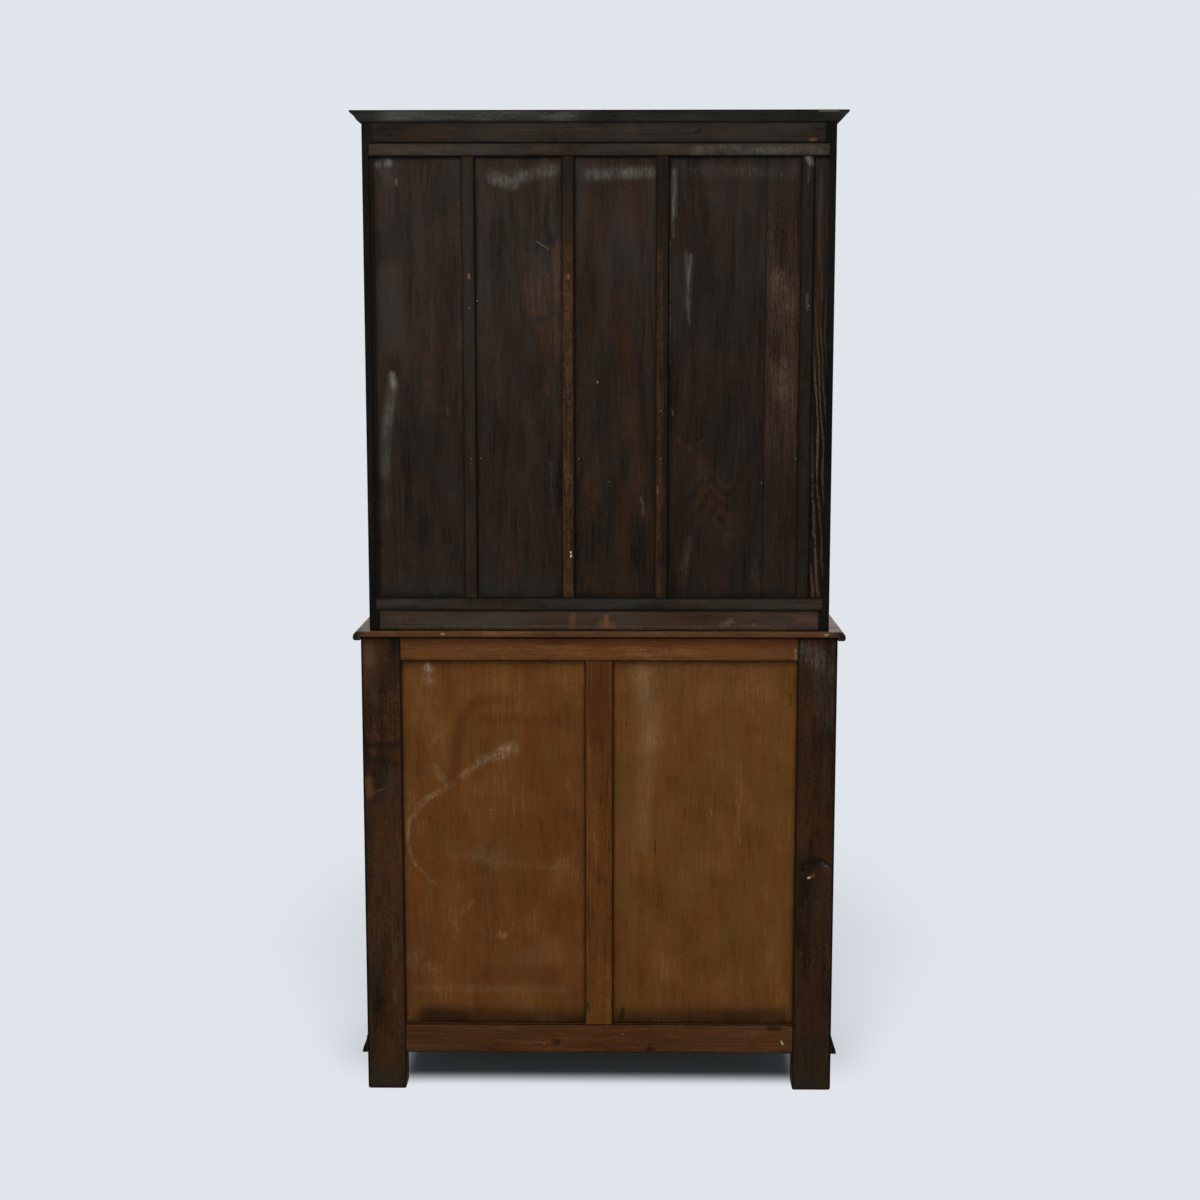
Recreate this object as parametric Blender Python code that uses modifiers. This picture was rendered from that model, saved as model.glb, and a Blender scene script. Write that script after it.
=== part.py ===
"""A two-stage dresser: an open plate rack with a framed back, on a base with two drawers over two doors.

Metres, +Z up. The front faces -Y, and left and right are those of someone facing the front. The origin lies
on the floor, under the middle of the dresser's outer box. Pieces that touch keep the clearance FIT between
them.
"""
import math
from collections import namedtuple

import bmesh
import bpy
from mathutils import Vector

# Overall sizes
BASE_HEIGHT = 0.923
BASE_WIDTH = 0.918
BASE_DEPTH = 0.430
RACK_HEIGHT = 0.977
RACK_DEPTH = 0.270
RACK_INSET = 0.0175

# Clearances
FIT = 0.0003
DRAWER_GAP = 0.0015
DOOR_GAP = 0.0015

# Frame joinery of the base
ARRIS = 0.0012
POST_WIDTH = 0.076
POST_DEPTH = 0.045
FOOT_HEIGHT = 0.0765
FOOT_ROUND = 0.006
RAIL_THICKNESS = 0.022
TOP_RAIL_HEIGHT = 0.048
BOTTOM_RAIL_HEIGHT = 0.059
FRONT_TOP_RAIL_HEIGHT = 0.030
BACK_MUNTIN_WIDTH = 0.054
PANEL_THICKNESS = 0.006
PANEL_SETBACK = 0.008
GROOVE_DEPTH = 0.006
TENON_LENGTH = 0.020
TENON_CHEEK = 0.006
TENON_LAND = 0.0015
HOUSING_DEPTH = 0.008

# Top of the base, with its thumbnail edge
TOP_THICKNESS = 0.010
TOP_BACK_OVERHANG = 0.008
NOSE_FLAT_OUT = 0.0042
NOSE_OUT = 0.0145
NOSE_DROP = 0.012
NOSE_UNDER = 0.0055
NOSE_UNDER_IN = 0.0045

# Moulding round the foot of the base
BASE_MOULDING_HEIGHT = 0.0345
BASE_MOULDING_OUT = 0.0105
BASE_MOULDING_EDGE = 0.0012

# Drawers and the deck they run on
DRAWER_OPENING_HEIGHT = 0.125
DECK_THICKNESS = 0.016
DECK_RAIL_HEIGHT = 0.022
DIVIDER_WIDTH = 0.028
GUIDE_HEIGHT = 0.020
DRAWER_FRONT_THICKNESS = 0.020
DRAWER_BACK_ROOM = 0.033
DRAWER_SIDE = 0.010
DRAWER_SIDE_DROP = 0.025
DRAWER_BOTTOM = 0.005
DRAWER_BOTTOM_UP = 0.008
DRAWER_LAP = 0.010

# Cupboard floor and doors
FLOOR_THICKNESS = 0.014
FLOOR_STOP = 0.006
DOOR_STILE = 0.062
DOOR_TOP_RAIL = 0.062
DOOR_BOTTOM_RAIL = 0.072
DOOR_CHAMFER = 0.004
DOOR_PANEL_EDGE = 0.006
FIELD_BEVEL = 0.032
FIELD_BEVEL_RISE = 0.003
FIELD_STEP = 0.002
DOOR_KNOB_HEIGHT = 0.470

# Butt hinges
HINGE_HEIGHT = 0.060
HINGE_INSET = 0.075
LEAF_WIDTH = 0.016
LEAF_THICKNESS = 0.0014
KNUCKLE_RADIUS = 0.004
KNUCKLE_CLEARANCE = 0.0005
KNUCKLE_GAP = 0.0006
PIN_RADIUS = 0.0016
PIN_CLEARANCE = 0.0003

# Turned knobs
KNOB_PROJECTION = 0.034
KNOB_HEAD_RADIUS = 0.0155
KNOB_HEAD_THICKNESS = 0.020
KNOB_NECK_RADIUS = 0.0075
KNOB_ROSE_RADIUS = 0.012
KNOB_ROSE_THICKNESS = 0.003
KNOB_SPIGOT_RADIUS = 0.005
KNOB_SPIGOT_LENGTH = 0.012

# Rack
RACK_SIDE_THICKNESS = 0.020
RACK_RAIL_THICKNESS = 0.018
RACK_TOP_RAIL_HEIGHT = 0.037
RACK_BOTTOM_RAIL_HEIGHT = 0.0395
RACK_TENON_LENGTH = 0.010
RACK_TENON_CHEEK = 0.005
FRIEZE_HEIGHT = 0.075
FRIEZE_SETBACK = 0.002
REBATE_WIDTH = 0.0085
BACK_FRAME_THICKNESS = 0.016
BACK_FRAME_SETBACK = 0.001
BACK_FRAME_RAIL_HEIGHT = 0.024
RACK_MUNTIN_WIDTH = 0.0245
RACK_MUNTIN_ROUND = 0.003
RACK_MUNTIN_TENON_LENGTH = 0.008
RACK_PANEL_THICKNESS = 0.006
RACK_PANEL_SETBACK = 0.005
RACK_GROOVE_DEPTH = 0.005
BOARD_JOINT_WIDTH = 0.0012
BOARD_JOINT_DEPTH = 0.0015
SHELF_THICKNESS = 0.018
SHELF_HOUSING = 0.006
SHELF_SETBACK = 0.004
SHELF_NOSE_RADIUS = 0.006
LOWER_SHELF_HEIGHT = 0.335
UPPER_SHELF_HEIGHT = 0.625
PLATE_GROOVE_WIDTH = 0.012
PLATE_GROOVE_DEPTH = 0.004
PLATE_GROOVE_FROM_BACK = 0.045
CORNICE_THICKNESS = 0.022
CORNICE_OUT = 0.0225
CORNICE_LIP = 0.0035
CORNICE_FILLET = 0.0025

# The rack's back is made up from boards of unequal width. These are the places of its muntins, and of the one
# bare board joint, as shares of half the width of the back, from its right-hand end to its left.
RACK_MUNTIN_PLACES = (0.569, 0.135, -0.277, -0.907)
BOARD_JOINT_PLACE = -0.728
JOINTED_PANEL = 4

# How finely curves are divided
ARRIS_STEPS = 2
CURVE_STEPS = 6
KNOB_STEPS = 24
KNUCKLE_STEPS = 16

# Colours, roughness and metallic value of each material
FINISHES = {
    "rack_dark_oak": ((0.025, 0.016, 0.011), 0.55, 0.0),
    "post_oak": ((0.030, 0.016, 0.009), 0.50, 0.0),
    "rail_pine": ((0.085, 0.040, 0.018), 0.60, 0.0),
    "panel_ply": ((0.090, 0.042, 0.018), 0.60, 0.0),
    "top_oak": ((0.110, 0.070, 0.050), 0.40, 0.0),
    "drawer_pine": ((0.300, 0.180, 0.090), 0.65, 0.0),
    "brass": ((0.350, 0.230, 0.080), 0.40, 1.0),
}

# Places worked out from the sizes above
SIDES = (("left", -1), ("right", 1))
TOTAL_DEPTH = KNOB_PROJECTION + BASE_DEPTH + TOP_BACK_OVERHANG
FRONT = KNOB_PROJECTION - TOTAL_DEPTH / 2
BACK = FRONT + BASE_DEPTH
HALF_BASE = BASE_WIDTH / 2
POST_IN = HALF_BASE - POST_WIDTH
FRAME_TOP = BASE_HEIGHT - TOP_THICKNESS - FIT
PANEL_HEAD = FRAME_TOP - TOP_RAIL_HEIGHT
BOTTOM_RAIL_TOP = FOOT_HEIGHT + BOTTOM_RAIL_HEIGHT
BASE_SHOULDER = GROOVE_DEPTH + TENON_LAND
DRAWER_HEAD = FRAME_TOP - FRONT_TOP_RAIL_HEIGHT
DECK_TOP = DRAWER_HEAD - DRAWER_OPENING_HEIGHT
DOOR_HEAD = DECK_TOP - DECK_RAIL_HEIGHT
FLOOR_TOP = BOTTOM_RAIL_TOP + FLOOR_STOP
HINGE_X = POST_IN - DOOR_GAP / 2
HINGE_Y = FRONT - KNUCKLE_RADIUS - KNUCKLE_CLEARANCE
RACK_FRONT = BACK - RACK_DEPTH
HALF_RACK = HALF_BASE - RACK_INSET
RACK_IN = HALF_RACK - RACK_SIDE_THICKNESS
RACK_FOOT = BASE_HEIGHT + FIT
CORNICE_FOOT = BASE_HEIGHT + RACK_HEIGHT - CORNICE_THICKNESS
RACK_HEAD = CORNICE_FOOT - FIT
BACK_FRAME_HALF = RACK_IN + REBATE_WIDTH - FIT
BACK_FRAME_Y = BACK - BACK_FRAME_SETBACK
BACK_FRAME_HEAD = RACK_HEAD - RACK_TOP_RAIL_HEIGHT - FIT
BACK_FRAME_FOOT = RACK_FOOT + RACK_BOTTOM_RAIL_HEIGHT + FIT
RACK_PANEL_HEAD = BACK_FRAME_HEAD - BACK_FRAME_RAIL_HEIGHT
RACK_PANEL_FOOT = BACK_FRAME_FOOT + BACK_FRAME_RAIL_HEIGHT
RACK_SHOULDER = RACK_GROOVE_DEPTH + TENON_LAND

Box = namedtuple("Box", "x0 x1 y0 y1 z0 z1")
Tenon = namedtuple("Tenon", "axis length insets")

BACK_RAIL_TENON = Tenon(0, TENON_LENGTH, (0, TENON_CHEEK, BASE_SHOULDER))
SIDE_RAIL_TENON = Tenon(1, TENON_LENGTH, (TENON_CHEEK, 0, BASE_SHOULDER))
BACK_MUNTIN_TENON = Tenon(2, TENON_LENGTH, (BASE_SHOULDER, TENON_CHEEK, 0))
RACK_RAIL_TENON = Tenon(0, RACK_TENON_LENGTH, (0, RACK_TENON_CHEEK, RACK_TENON_CHEEK))
RACK_MUNTIN_TENON = Tenon(2, RACK_MUNTIN_TENON_LENGTH, (RACK_SHOULDER, RACK_TENON_CHEEK, 0))


# Scene, materials and boxes

def clear_scene():
    """Removes the objects of the open scene."""
    for old in list(bpy.data.objects):
        bpy.data.objects.remove(old, do_unlink=True)


def new_collection(name):
    """A collection of its own under the scene."""
    collection = bpy.data.collections.new(name)
    bpy.context.scene.collection.children.link(collection)
    return collection


def new_material(name):
    """A Principled material with the finish listed for its name."""
    colour, roughness, metallic = FINISHES[name]
    material = bpy.data.materials.new(name)
    material.use_nodes = True
    shader = material.node_tree.nodes["Principled BSDF"]
    shader.inputs["Base Color"].default_value = (*colour, 1.0)
    shader.inputs["Roughness"].default_value = roughness
    shader.inputs["Metallic"].default_value = metallic
    material.diffuse_color = (*colour, 1.0)
    return material


def size_of(box):
    """Length of a box along X, Y and Z."""
    return Vector((box.x1 - box.x0, box.y1 - box.y0, box.z1 - box.z0))


def centre_of(box):
    """Middle of a box."""
    return Vector((box.x0 + box.x1, box.y0 + box.y1, box.z0 + box.z1)) / 2


def grown(box, by):
    """A box moved out by the same amount on every face."""
    return Box(box.x0 - by, box.x1 + by, box.y0 - by, box.y1 + by, box.z0 - by, box.z1 + by)


def on_side(box, side):
    """A box drawn for the right-hand side, mirrored for the left."""
    return box if side > 0 else box._replace(x0=-box.x1, x1=-box.x0)


# Meshes

def board_mesh(box, ease=ARRIS, along=None):
    """A board about its own middle, with its edges eased all round or only along one axis."""
    bm = bmesh.new()
    bmesh.ops.create_cube(bm, size=1.0)
    bmesh.ops.scale(bm, vec=size_of(box), verts=bm.verts)
    if ease:
        edges = [edge for edge in bm.edges if along is None or runs_along(edge, along)]
        bmesh.ops.bevel(bm, geom=edges, offset=ease, segments=ARRIS_STEPS, profile=0.5, affect='EDGES')
    return bm


def runs_along(edge, axis):
    """Whether an edge is parallel to an axis."""
    run = edge.verts[1].co - edge.verts[0].co
    return abs(run[axis]) > 0.99 * run.length


def draw_tenons(bm, box, tenon):
    """Draws a stub tenon out of both ends of a board."""
    half = size_of(box) / 2
    for end in (-1, 1):
        bm.normal_update()
        face = max(bm.faces, key=lambda one: one.normal[tenon.axis] * end * one.calc_area())
        bmesh.ops.inset_individual(bm, faces=[face], thickness=FIT, use_even_offset=True)
        for vert in face.verts:
            for across in {0, 1, 2} - {tenon.axis}:
                vert.co[across] *= (half[across] - tenon.insets[across]) / (half[across] - FIT)
        drawn = bmesh.ops.extrude_discrete_faces(bm, faces=[face])["faces"][0]
        reach = Vector((0, 0, 0))
        reach[tenon.axis] = end * tenon.length
        bmesh.ops.translate(bm, vec=reach, verts=drawn.verts)


def tenon_box(box, tenon):
    """The straight box that holds both tenons of a board and runs through it."""
    low = [box.x0, box.y0, box.z0]
    high = [box.x1, box.y1, box.z1]
    for axis in range(3):
        inset = -tenon.length if axis == tenon.axis else tenon.insets[axis]
        low[axis] += inset
        high[axis] -= inset
    return Box(low[0], high[0], low[1], high[1], low[2], high[2])


def extruded_mesh(outline, axis, length):
    """An outline in the plane across an axis, extruded along it from the middle both ways."""
    bm = bmesh.new()
    across = [other for other in range(3) if other != axis]
    verts = []
    for first, second in outline:
        point = Vector((0, 0, 0))
        point[across[0]] = first
        point[across[1]] = second
        point[axis] = -length / 2
        verts.append(bm.verts.new(point))
    face = bm.faces.new(verts)
    drawn = bmesh.ops.extrude_face_region(bm, geom=[face])["geom"]
    reach = Vector((0, 0, 0))
    reach[axis] = length
    bmesh.ops.translate(bm, vec=reach, verts=[item for item in drawn if isinstance(item, bmesh.types.BMVert)])
    bmesh.ops.recalc_face_normals(bm, faces=bm.faces)
    return bm


def lofted_mesh(loops):
    """Skins a row of like loops and caps its ends."""
    bm = bmesh.new()
    rows = [[bm.verts.new(point) for point in loop] for loop in loops]
    count = len(rows[0])
    for row, following in zip(rows, rows[1:]):
        for i in range(count):
            j = (i + 1) % count
            bm.faces.new((row[i], row[j], following[j], following[i]))
    bm.faces.new(rows[0])
    bm.faces.new(rows[-1])
    bmesh.ops.recalc_face_normals(bm, faces=bm.faces)
    return bm


def u_path(half_width, front, back, out, height):
    """The corners of a run along the left side, the front and the right side, moved out by some depth."""
    x = half_width + out
    y = front - out
    return [(-x, back, height), (-x, y, height), (x, y, height), (x, back, height)]


def moulded_board_mesh(half_width, front, back, profile):
    """A board with a moulded edge on its front and sides. Its profile is (out, height), from the foot up."""
    return lofted_mesh([u_path(half_width, front, back, out, height) for out, height in profile])


def moulding_mesh(half_width, front, back, profile):
    """A strip of closed section, mitred round the front corners."""
    runs = [u_path(half_width, front, back, out, height) for out, height in profile]
    return lofted_mesh(list(zip(*runs)))


def shares(steps):
    """Even steps from 0 to 1."""
    return [i / steps for i in range(steps + 1)]


def quarter():
    """Angles from 0 to a right angle."""
    return [math.pi / 2 * share for share in shares(CURVE_STEPS)]


# Pieces, and the cuts that seat them in each other

def add_piece(name, bm, material, centre, carrier=None):
    """Adds a named piece. A moving piece hangs from the empty on its joint."""
    mesh = bpy.data.meshes.new(name)
    bm.to_mesh(mesh)
    bm.free()
    mesh.materials.append(MATERIALS[material])
    piece = bpy.data.objects.new(name, mesh)
    PARTS.objects.link(piece)
    piece.location = Vector(centre)
    if carrier:
        piece.parent = carrier
        piece.location -= carrier.location
    return piece


def add_board(name, box, material, carrier=None, ease=ARRIS, along=None):
    """Adds a plain board."""
    return add_piece(name, board_mesh(box, ease, along), material, centre_of(box), carrier)


def add_rail(name, box, tenon, material, ease=ARRIS):
    """Adds a rail or muntin with a tenon on both ends, its long edges eased."""
    bm = board_mesh(box, ease, tenon.axis)
    draw_tenons(bm, box, tenon)
    return add_piece(name, bm, material, centre_of(box))


def add_carrier(name, place):
    """Adds the empty that a moving assembly hangs from."""
    carrier = bpy.data.objects.new(name, None)
    carrier.empty_display_size = 0.05
    carrier.location = place
    PARTS.objects.link(carrier)
    return carrier


def add_tool(name, bm, centre):
    """Adds a shape that only cuts or joins other pieces."""
    mesh = bpy.data.meshes.new(name)
    bm.to_mesh(mesh)
    bm.free()
    tool = bpy.data.objects.new(name, mesh)
    tool.location = centre
    tool.display_type = 'WIRE'
    tool.hide_render = True
    TOOLS.objects.link(tool)
    return tool


def combine(piece, tool, operation):
    """Cuts a tool from a piece, or joins the two."""
    step = piece.modifiers.new(tool.name, 'BOOLEAN')
    step.operation = operation
    step.object = tool


def cut_box(name, box, *hosts):
    """Cuts a box out of each host."""
    tool = add_tool(name, board_mesh(box, 0), centre_of(box))
    for host in hosts:
        combine(host, tool, 'DIFFERENCE')


def seat(name, guest, *hosts):
    """Cuts the room that a guest needs, with its clearance, out of each of its hosts."""
    cut_box(name, grown(guest, FIT), *hosts)


def turn(piece, steps):
    """Turns a profile about the piece's own Z axis."""
    screw = piece.modifiers.new("turned", 'SCREW')
    screw.axis = 'Z'
    screw.angle = 2 * math.pi
    screw.steps = steps
    screw.render_steps = steps
    screw.use_merge_vertices = True
    screw.merge_threshold = 0.00002


def profile_mesh(points, closed=False):
    """A profile of (radius, height) points, joined by edges."""
    bm = bmesh.new()
    verts = [bm.verts.new((radius, 0, height)) for radius, height in points]
    for one, following in zip(verts, verts[1:]):
        bm.edges.new((one, following))
    if closed:
        bm.edges.new((verts[-1], verts[0]))
    return bm


# Base

def build_posts():
    """Four corner posts, which run down to the floor as feet."""
    posts = {}
    for label, side in SIDES:
        front = Box(POST_IN, HALF_BASE, FRONT, FRONT + POST_DEPTH, 0, FRAME_TOP)
        rear = front._replace(y0=BACK - POST_DEPTH, y1=BACK)
        for row, box in (("front", front), ("rear", rear)):
            placed = on_side(box, side)
            post = post_mesh(placed)
            posts[row, side] = add_piece(f"{row}_post_{label}", post, "post_oak", centre_of(placed))
    return posts


def post_mesh(box):
    """A post about its own middle, with eased edges and a well rounded foot."""
    half = size_of(box) / 2
    foot = [(FOOT_ROUND * (1 - math.sin(angle)), FOOT_ROUND * (1 - math.cos(angle)) - half.z)
            for angle in quarter()]
    head = [(ARRIS * (1 - math.cos(angle)), half.z - ARRIS * (1 - math.sin(angle)))
            for angle in quarter()]
    return lofted_mesh([eased_loop(half.x - inset, half.y - inset, height)
                        for inset, height in foot + head])


def eased_loop(half_x, half_y, height):
    """A level rectangle with eased corners."""
    loop = []
    for turn_x, turn_y in ((1, 1), (-1, 1), (-1, -1), (1, -1)):
        corner = []
        for share in shares(ARRIS_STEPS):
            angle = math.pi / 2 * share
            corner.append((turn_x * (half_x - ARRIS + ARRIS * math.cos(angle)),
                           turn_y * (half_y - ARRIS + ARRIS * math.sin(angle)), height))
        loop += corner if turn_x == turn_y else reversed(corner)
    return loop


def build_base_back(posts):
    """Framed back of the base: two rails, a muntin and two flat panels in grooves."""
    rear_posts = (posts["rear", -1], posts["rear", 1])
    end = POST_IN - FIT
    top_box = Box(-end, end, BACK - RAIL_THICKNESS, BACK, PANEL_HEAD, FRAME_TOP)
    bottom_box = top_box._replace(z0=FOOT_HEIGHT, z1=BOTTOM_RAIL_TOP)
    half = BACK_MUNTIN_WIDTH / 2
    muntin_box = top_box._replace(x0=-half, x1=half, z0=BOTTOM_RAIL_TOP + FIT, z1=PANEL_HEAD - FIT)
    top_rail = add_rail("back_top_rail", top_box, BACK_RAIL_TENON, "rail_pine")
    bottom_rail = add_rail("back_bottom_rail", bottom_box, BACK_RAIL_TENON, "rail_pine")
    muntin = add_rail("back_muntin", muntin_box, BACK_MUNTIN_TENON, "rail_pine")
    seat("back_top_rail_mortises", tenon_box(top_box, BACK_RAIL_TENON), *rear_posts)
    seat("back_bottom_rail_mortises", tenon_box(bottom_box, BACK_RAIL_TENON), *rear_posts)
    seat("back_muntin_mortises", tenon_box(muntin_box, BACK_MUNTIN_TENON), top_rail, bottom_rail)
    for label, side in SIDES:
        panel = on_side(Box(half - GROOVE_DEPTH, POST_IN + GROOVE_DEPTH,
                            BACK - PANEL_SETBACK - PANEL_THICKNESS, BACK - PANEL_SETBACK,
                            BOTTOM_RAIL_TOP - GROOVE_DEPTH, PANEL_HEAD + GROOVE_DEPTH), side)
        add_board(f"back_panel_{label}", panel, "panel_ply", ease=0)
        seat(f"back_panel_groove_{label}", panel, posts["rear", side], top_rail, bottom_rail, muntin)


def build_base_sides(posts):
    """Framed sides of the base: a top rail, a bottom rail and a flat panel each."""
    for label, side in SIDES:
        ends = (posts["front", side], posts["rear", side])
        top_box = on_side(Box(HALF_BASE - RAIL_THICKNESS, HALF_BASE, FRONT + POST_DEPTH + FIT,
                              BACK - POST_DEPTH - FIT, PANEL_HEAD, FRAME_TOP), side)
        bottom_box = top_box._replace(z0=FOOT_HEIGHT, z1=BOTTOM_RAIL_TOP)
        top_rail = add_rail(f"side_top_rail_{label}", top_box, SIDE_RAIL_TENON, "post_oak")
        bottom_rail = add_rail(f"side_bottom_rail_{label}", bottom_box, SIDE_RAIL_TENON, "post_oak")
        seat(f"side_top_rail_mortises_{label}", tenon_box(top_box, SIDE_RAIL_TENON), *ends)
        seat(f"side_bottom_rail_mortises_{label}", tenon_box(bottom_box, SIDE_RAIL_TENON), *ends)
        face = HALF_BASE - PANEL_SETBACK
        panel = on_side(Box(face - PANEL_THICKNESS, face, FRONT + POST_DEPTH - GROOVE_DEPTH,
                            BACK - POST_DEPTH + GROOVE_DEPTH, BOTTOM_RAIL_TOP - GROOVE_DEPTH,
                            PANEL_HEAD + GROOVE_DEPTH), side)
        add_board(f"side_panel_{label}", panel, "post_oak", ease=0)
        seat(f"side_panel_groove_{label}", panel, *ends, top_rail, bottom_rail)


def build_front_rails(posts):
    """Rails over the drawers and under the doors."""
    front_posts = (posts["front", -1], posts["front", 1])
    end = POST_IN - FIT
    top_box = Box(-end, end, FRONT, FRONT + RAIL_THICKNESS, DRAWER_HEAD, FRAME_TOP)
    bottom_box = top_box._replace(z0=FOOT_HEIGHT, z1=BOTTOM_RAIL_TOP)
    for name, box in (("front_top_rail", top_box), ("front_bottom_rail", bottom_box)):
        add_rail(name, box, BACK_RAIL_TENON, "post_oak")
        seat(f"{name}_mortises", tenon_box(box, BACK_RAIL_TENON), *front_posts)


def build_drawer_deck(posts):
    """Deck under the drawers, with its guides, and the front rail and divider glued to it."""
    wide = POST_IN + HOUSING_DEPTH
    slim = DIVIDER_WIDTH / 2
    foot = DECK_TOP - DECK_THICKNESS
    head = DECK_TOP + GUIDE_HEIGHT
    guide = [(wide, foot), (wide, head), (POST_IN, head), (POST_IN, DECK_TOP)]
    half_section = guide + [(slim, DECK_TOP), (slim, head)]
    section = half_section + [(-x, z) for x, z in reversed(half_section)]
    start = FRONT + RAIL_THICKNESS
    stop = BACK - RAIL_THICKNESS - FIT
    middle = (0, (start + stop) / 2, 0)
    deck = add_piece("drawer_deck", extruded_mesh(section, 1, stop - start), "post_oak", middle)
    end = POST_IN - FIT
    divider_head = DRAWER_HEAD - FIT
    half_face = [(end, DOOR_HEAD), (end, DECK_TOP), (slim, DECK_TOP), (slim, divider_head)]
    face = half_face + [(-x, z) for x, z in reversed(half_face)]
    face_mesh = extruded_mesh(face, 1, RAIL_THICKNESS)
    combine(deck, add_tool("drawer_deck_face", face_mesh, (0, FRONT + RAIL_THICKNESS / 2, 0)), 'UNION')
    seat("drawer_deck_housing", Box(-wide, wide, start, stop, foot, head), *posts.values())


def build_cupboard_floor(posts):
    """Floor of the cupboard, notched round the posts and housed in them. Its front edge stops the doors."""
    housed = Box(-POST_IN - HOUSING_DEPTH, POST_IN + HOUSING_DEPTH,
                 FRONT + RAIL_THICKNESS + FIT, BACK - RAIL_THICKNESS - FIT,
                 FLOOR_TOP - FLOOR_THICKNESS, FLOOR_TOP)
    wide = HALF_BASE - RAIL_THICKNESS - FIT
    near = FRONT + POST_DEPTH + FIT
    far = BACK - POST_DEPTH - FIT
    half_outline = [(housed.x1, housed.y0), (housed.x1, near), (wide, near),
                    (wide, far), (housed.x1, far), (housed.x1, housed.y1)]
    outline = half_outline + [(-x, y) for x, y in reversed(half_outline)]
    middle = (0, 0, FLOOR_TOP - FLOOR_THICKNESS / 2)
    add_piece("cupboard_floor", extruded_mesh(outline, 2, FLOOR_THICKNESS), "drawer_pine", middle)
    seat("cupboard_floor_housing", housed, *posts.values())


def build_base_top():
    """Thin top with a deeper thumbnail edge on its front and sides, which laps the posts below it."""
    widest = BASE_HEIGHT - NOSE_DROP
    over_out = NOSE_OUT - NOSE_FLAT_OUT
    under = [(NOSE_OUT - NOSE_UNDER_IN * (1 - math.sin(angle)), widest - NOSE_UNDER * math.cos(angle))
             for angle in quarter()]
    over = [(NOSE_FLAT_OUT + over_out * math.cos(angle), widest + NOSE_DROP * math.sin(angle))
            for angle in quarter()]
    edge = BACK + TOP_BACK_OVERHANG
    bm = moulded_board_mesh(HALF_BASE, FRONT, edge, under + over[1:])
    top = add_piece("base_top", bm, "top_oak", (0, 0, 0))
    pocket = Box(-HALF_BASE - FIT, HALF_BASE + FIT, FRONT - FIT, edge + TOP_THICKNESS,
                 FRAME_TOP - NOSE_DROP - NOSE_UNDER, BASE_HEIGHT - TOP_THICKNESS)
    cut_box("base_top_pocket", pocket, top)


def build_base_moulding():
    """Ogee strip round the foot of the base, mitred at the front corners."""
    swell = BASE_MOULDING_OUT - BASE_MOULDING_EDGE
    ogee = [(BASE_MOULDING_EDGE + swell * (1 + math.cos(math.pi * share)) / 2,
             FOOT_HEIGHT + BASE_MOULDING_HEIGHT * share) for share in shares(CURVE_STEPS)]
    profile = [(FIT, FOOT_HEIGHT), *ogee, (FIT, FOOT_HEIGHT + BASE_MOULDING_HEIGHT)]
    add_piece("base_moulding", moulding_mesh(HALF_BASE, FRONT, BACK, profile), "post_oak", (0, 0, 0))


# Drawers

def build_drawer(label, side):
    """A drawer: its front, its box lapped into the front, and a turned knob."""
    inner = DIVIDER_WIDTH / 2 + DRAWER_GAP
    outer = POST_IN - DRAWER_GAP
    front_box = on_side(Box(inner, outer, FRONT, FRONT + DRAWER_FRONT_THICKNESS,
                            DECK_TOP + DRAWER_GAP, DRAWER_HEAD - DRAWER_GAP), side)
    carrier = add_carrier(f"drawer_slide_{label}", centre_of(front_box))
    front = add_board(f"drawer_front_{label}", front_box, "post_oak", carrier)

    lapped = FRONT + DRAWER_FRONT_THICKNESS - DRAWER_LAP
    shell = front_box._replace(y0=lapped, y1=BACK - RAIL_THICKNESS - DRAWER_BACK_ROOM,
                               z0=DECK_TOP + FIT, z1=DRAWER_HEAD - DRAWER_SIDE_DROP)
    tray = add_board(f"drawer_box_{label}", shell, "drawer_pine", carrier, ease=0)
    bottom_foot = DECK_TOP + DRAWER_BOTTOM_UP
    bottom_top = bottom_foot + DRAWER_BOTTOM
    inside = shell._replace(x0=shell.x0 + DRAWER_SIDE, x1=shell.x1 - DRAWER_SIDE)
    cut_box(f"drawer_inside_{label}", inside._replace(y0=FRONT, y1=shell.y1 - DRAWER_SIDE, z0=bottom_top,
                                                      z1=shell.z1 + DRAWER_SIDE), tray)
    cut_box(f"drawer_under_{label}", inside._replace(y0=FRONT, y1=shell.y1 + DRAWER_SIDE,
                                                     z0=DECK_TOP - DRAWER_BOTTOM, z1=bottom_foot), tray)
    seat(f"drawer_side_lap_a_{label}", shell._replace(x1=shell.x0 + DRAWER_SIDE), front)
    seat(f"drawer_side_lap_b_{label}", shell._replace(x0=shell.x1 - DRAWER_SIDE), front)
    seat(f"drawer_bottom_lap_{label}", shell._replace(z0=bottom_foot, z1=bottom_top), front)
    middle = centre_of(front_box)
    add_knob(f"drawer_knob_{label}", (middle.x, FRONT, middle.z), front, carrier)


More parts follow.
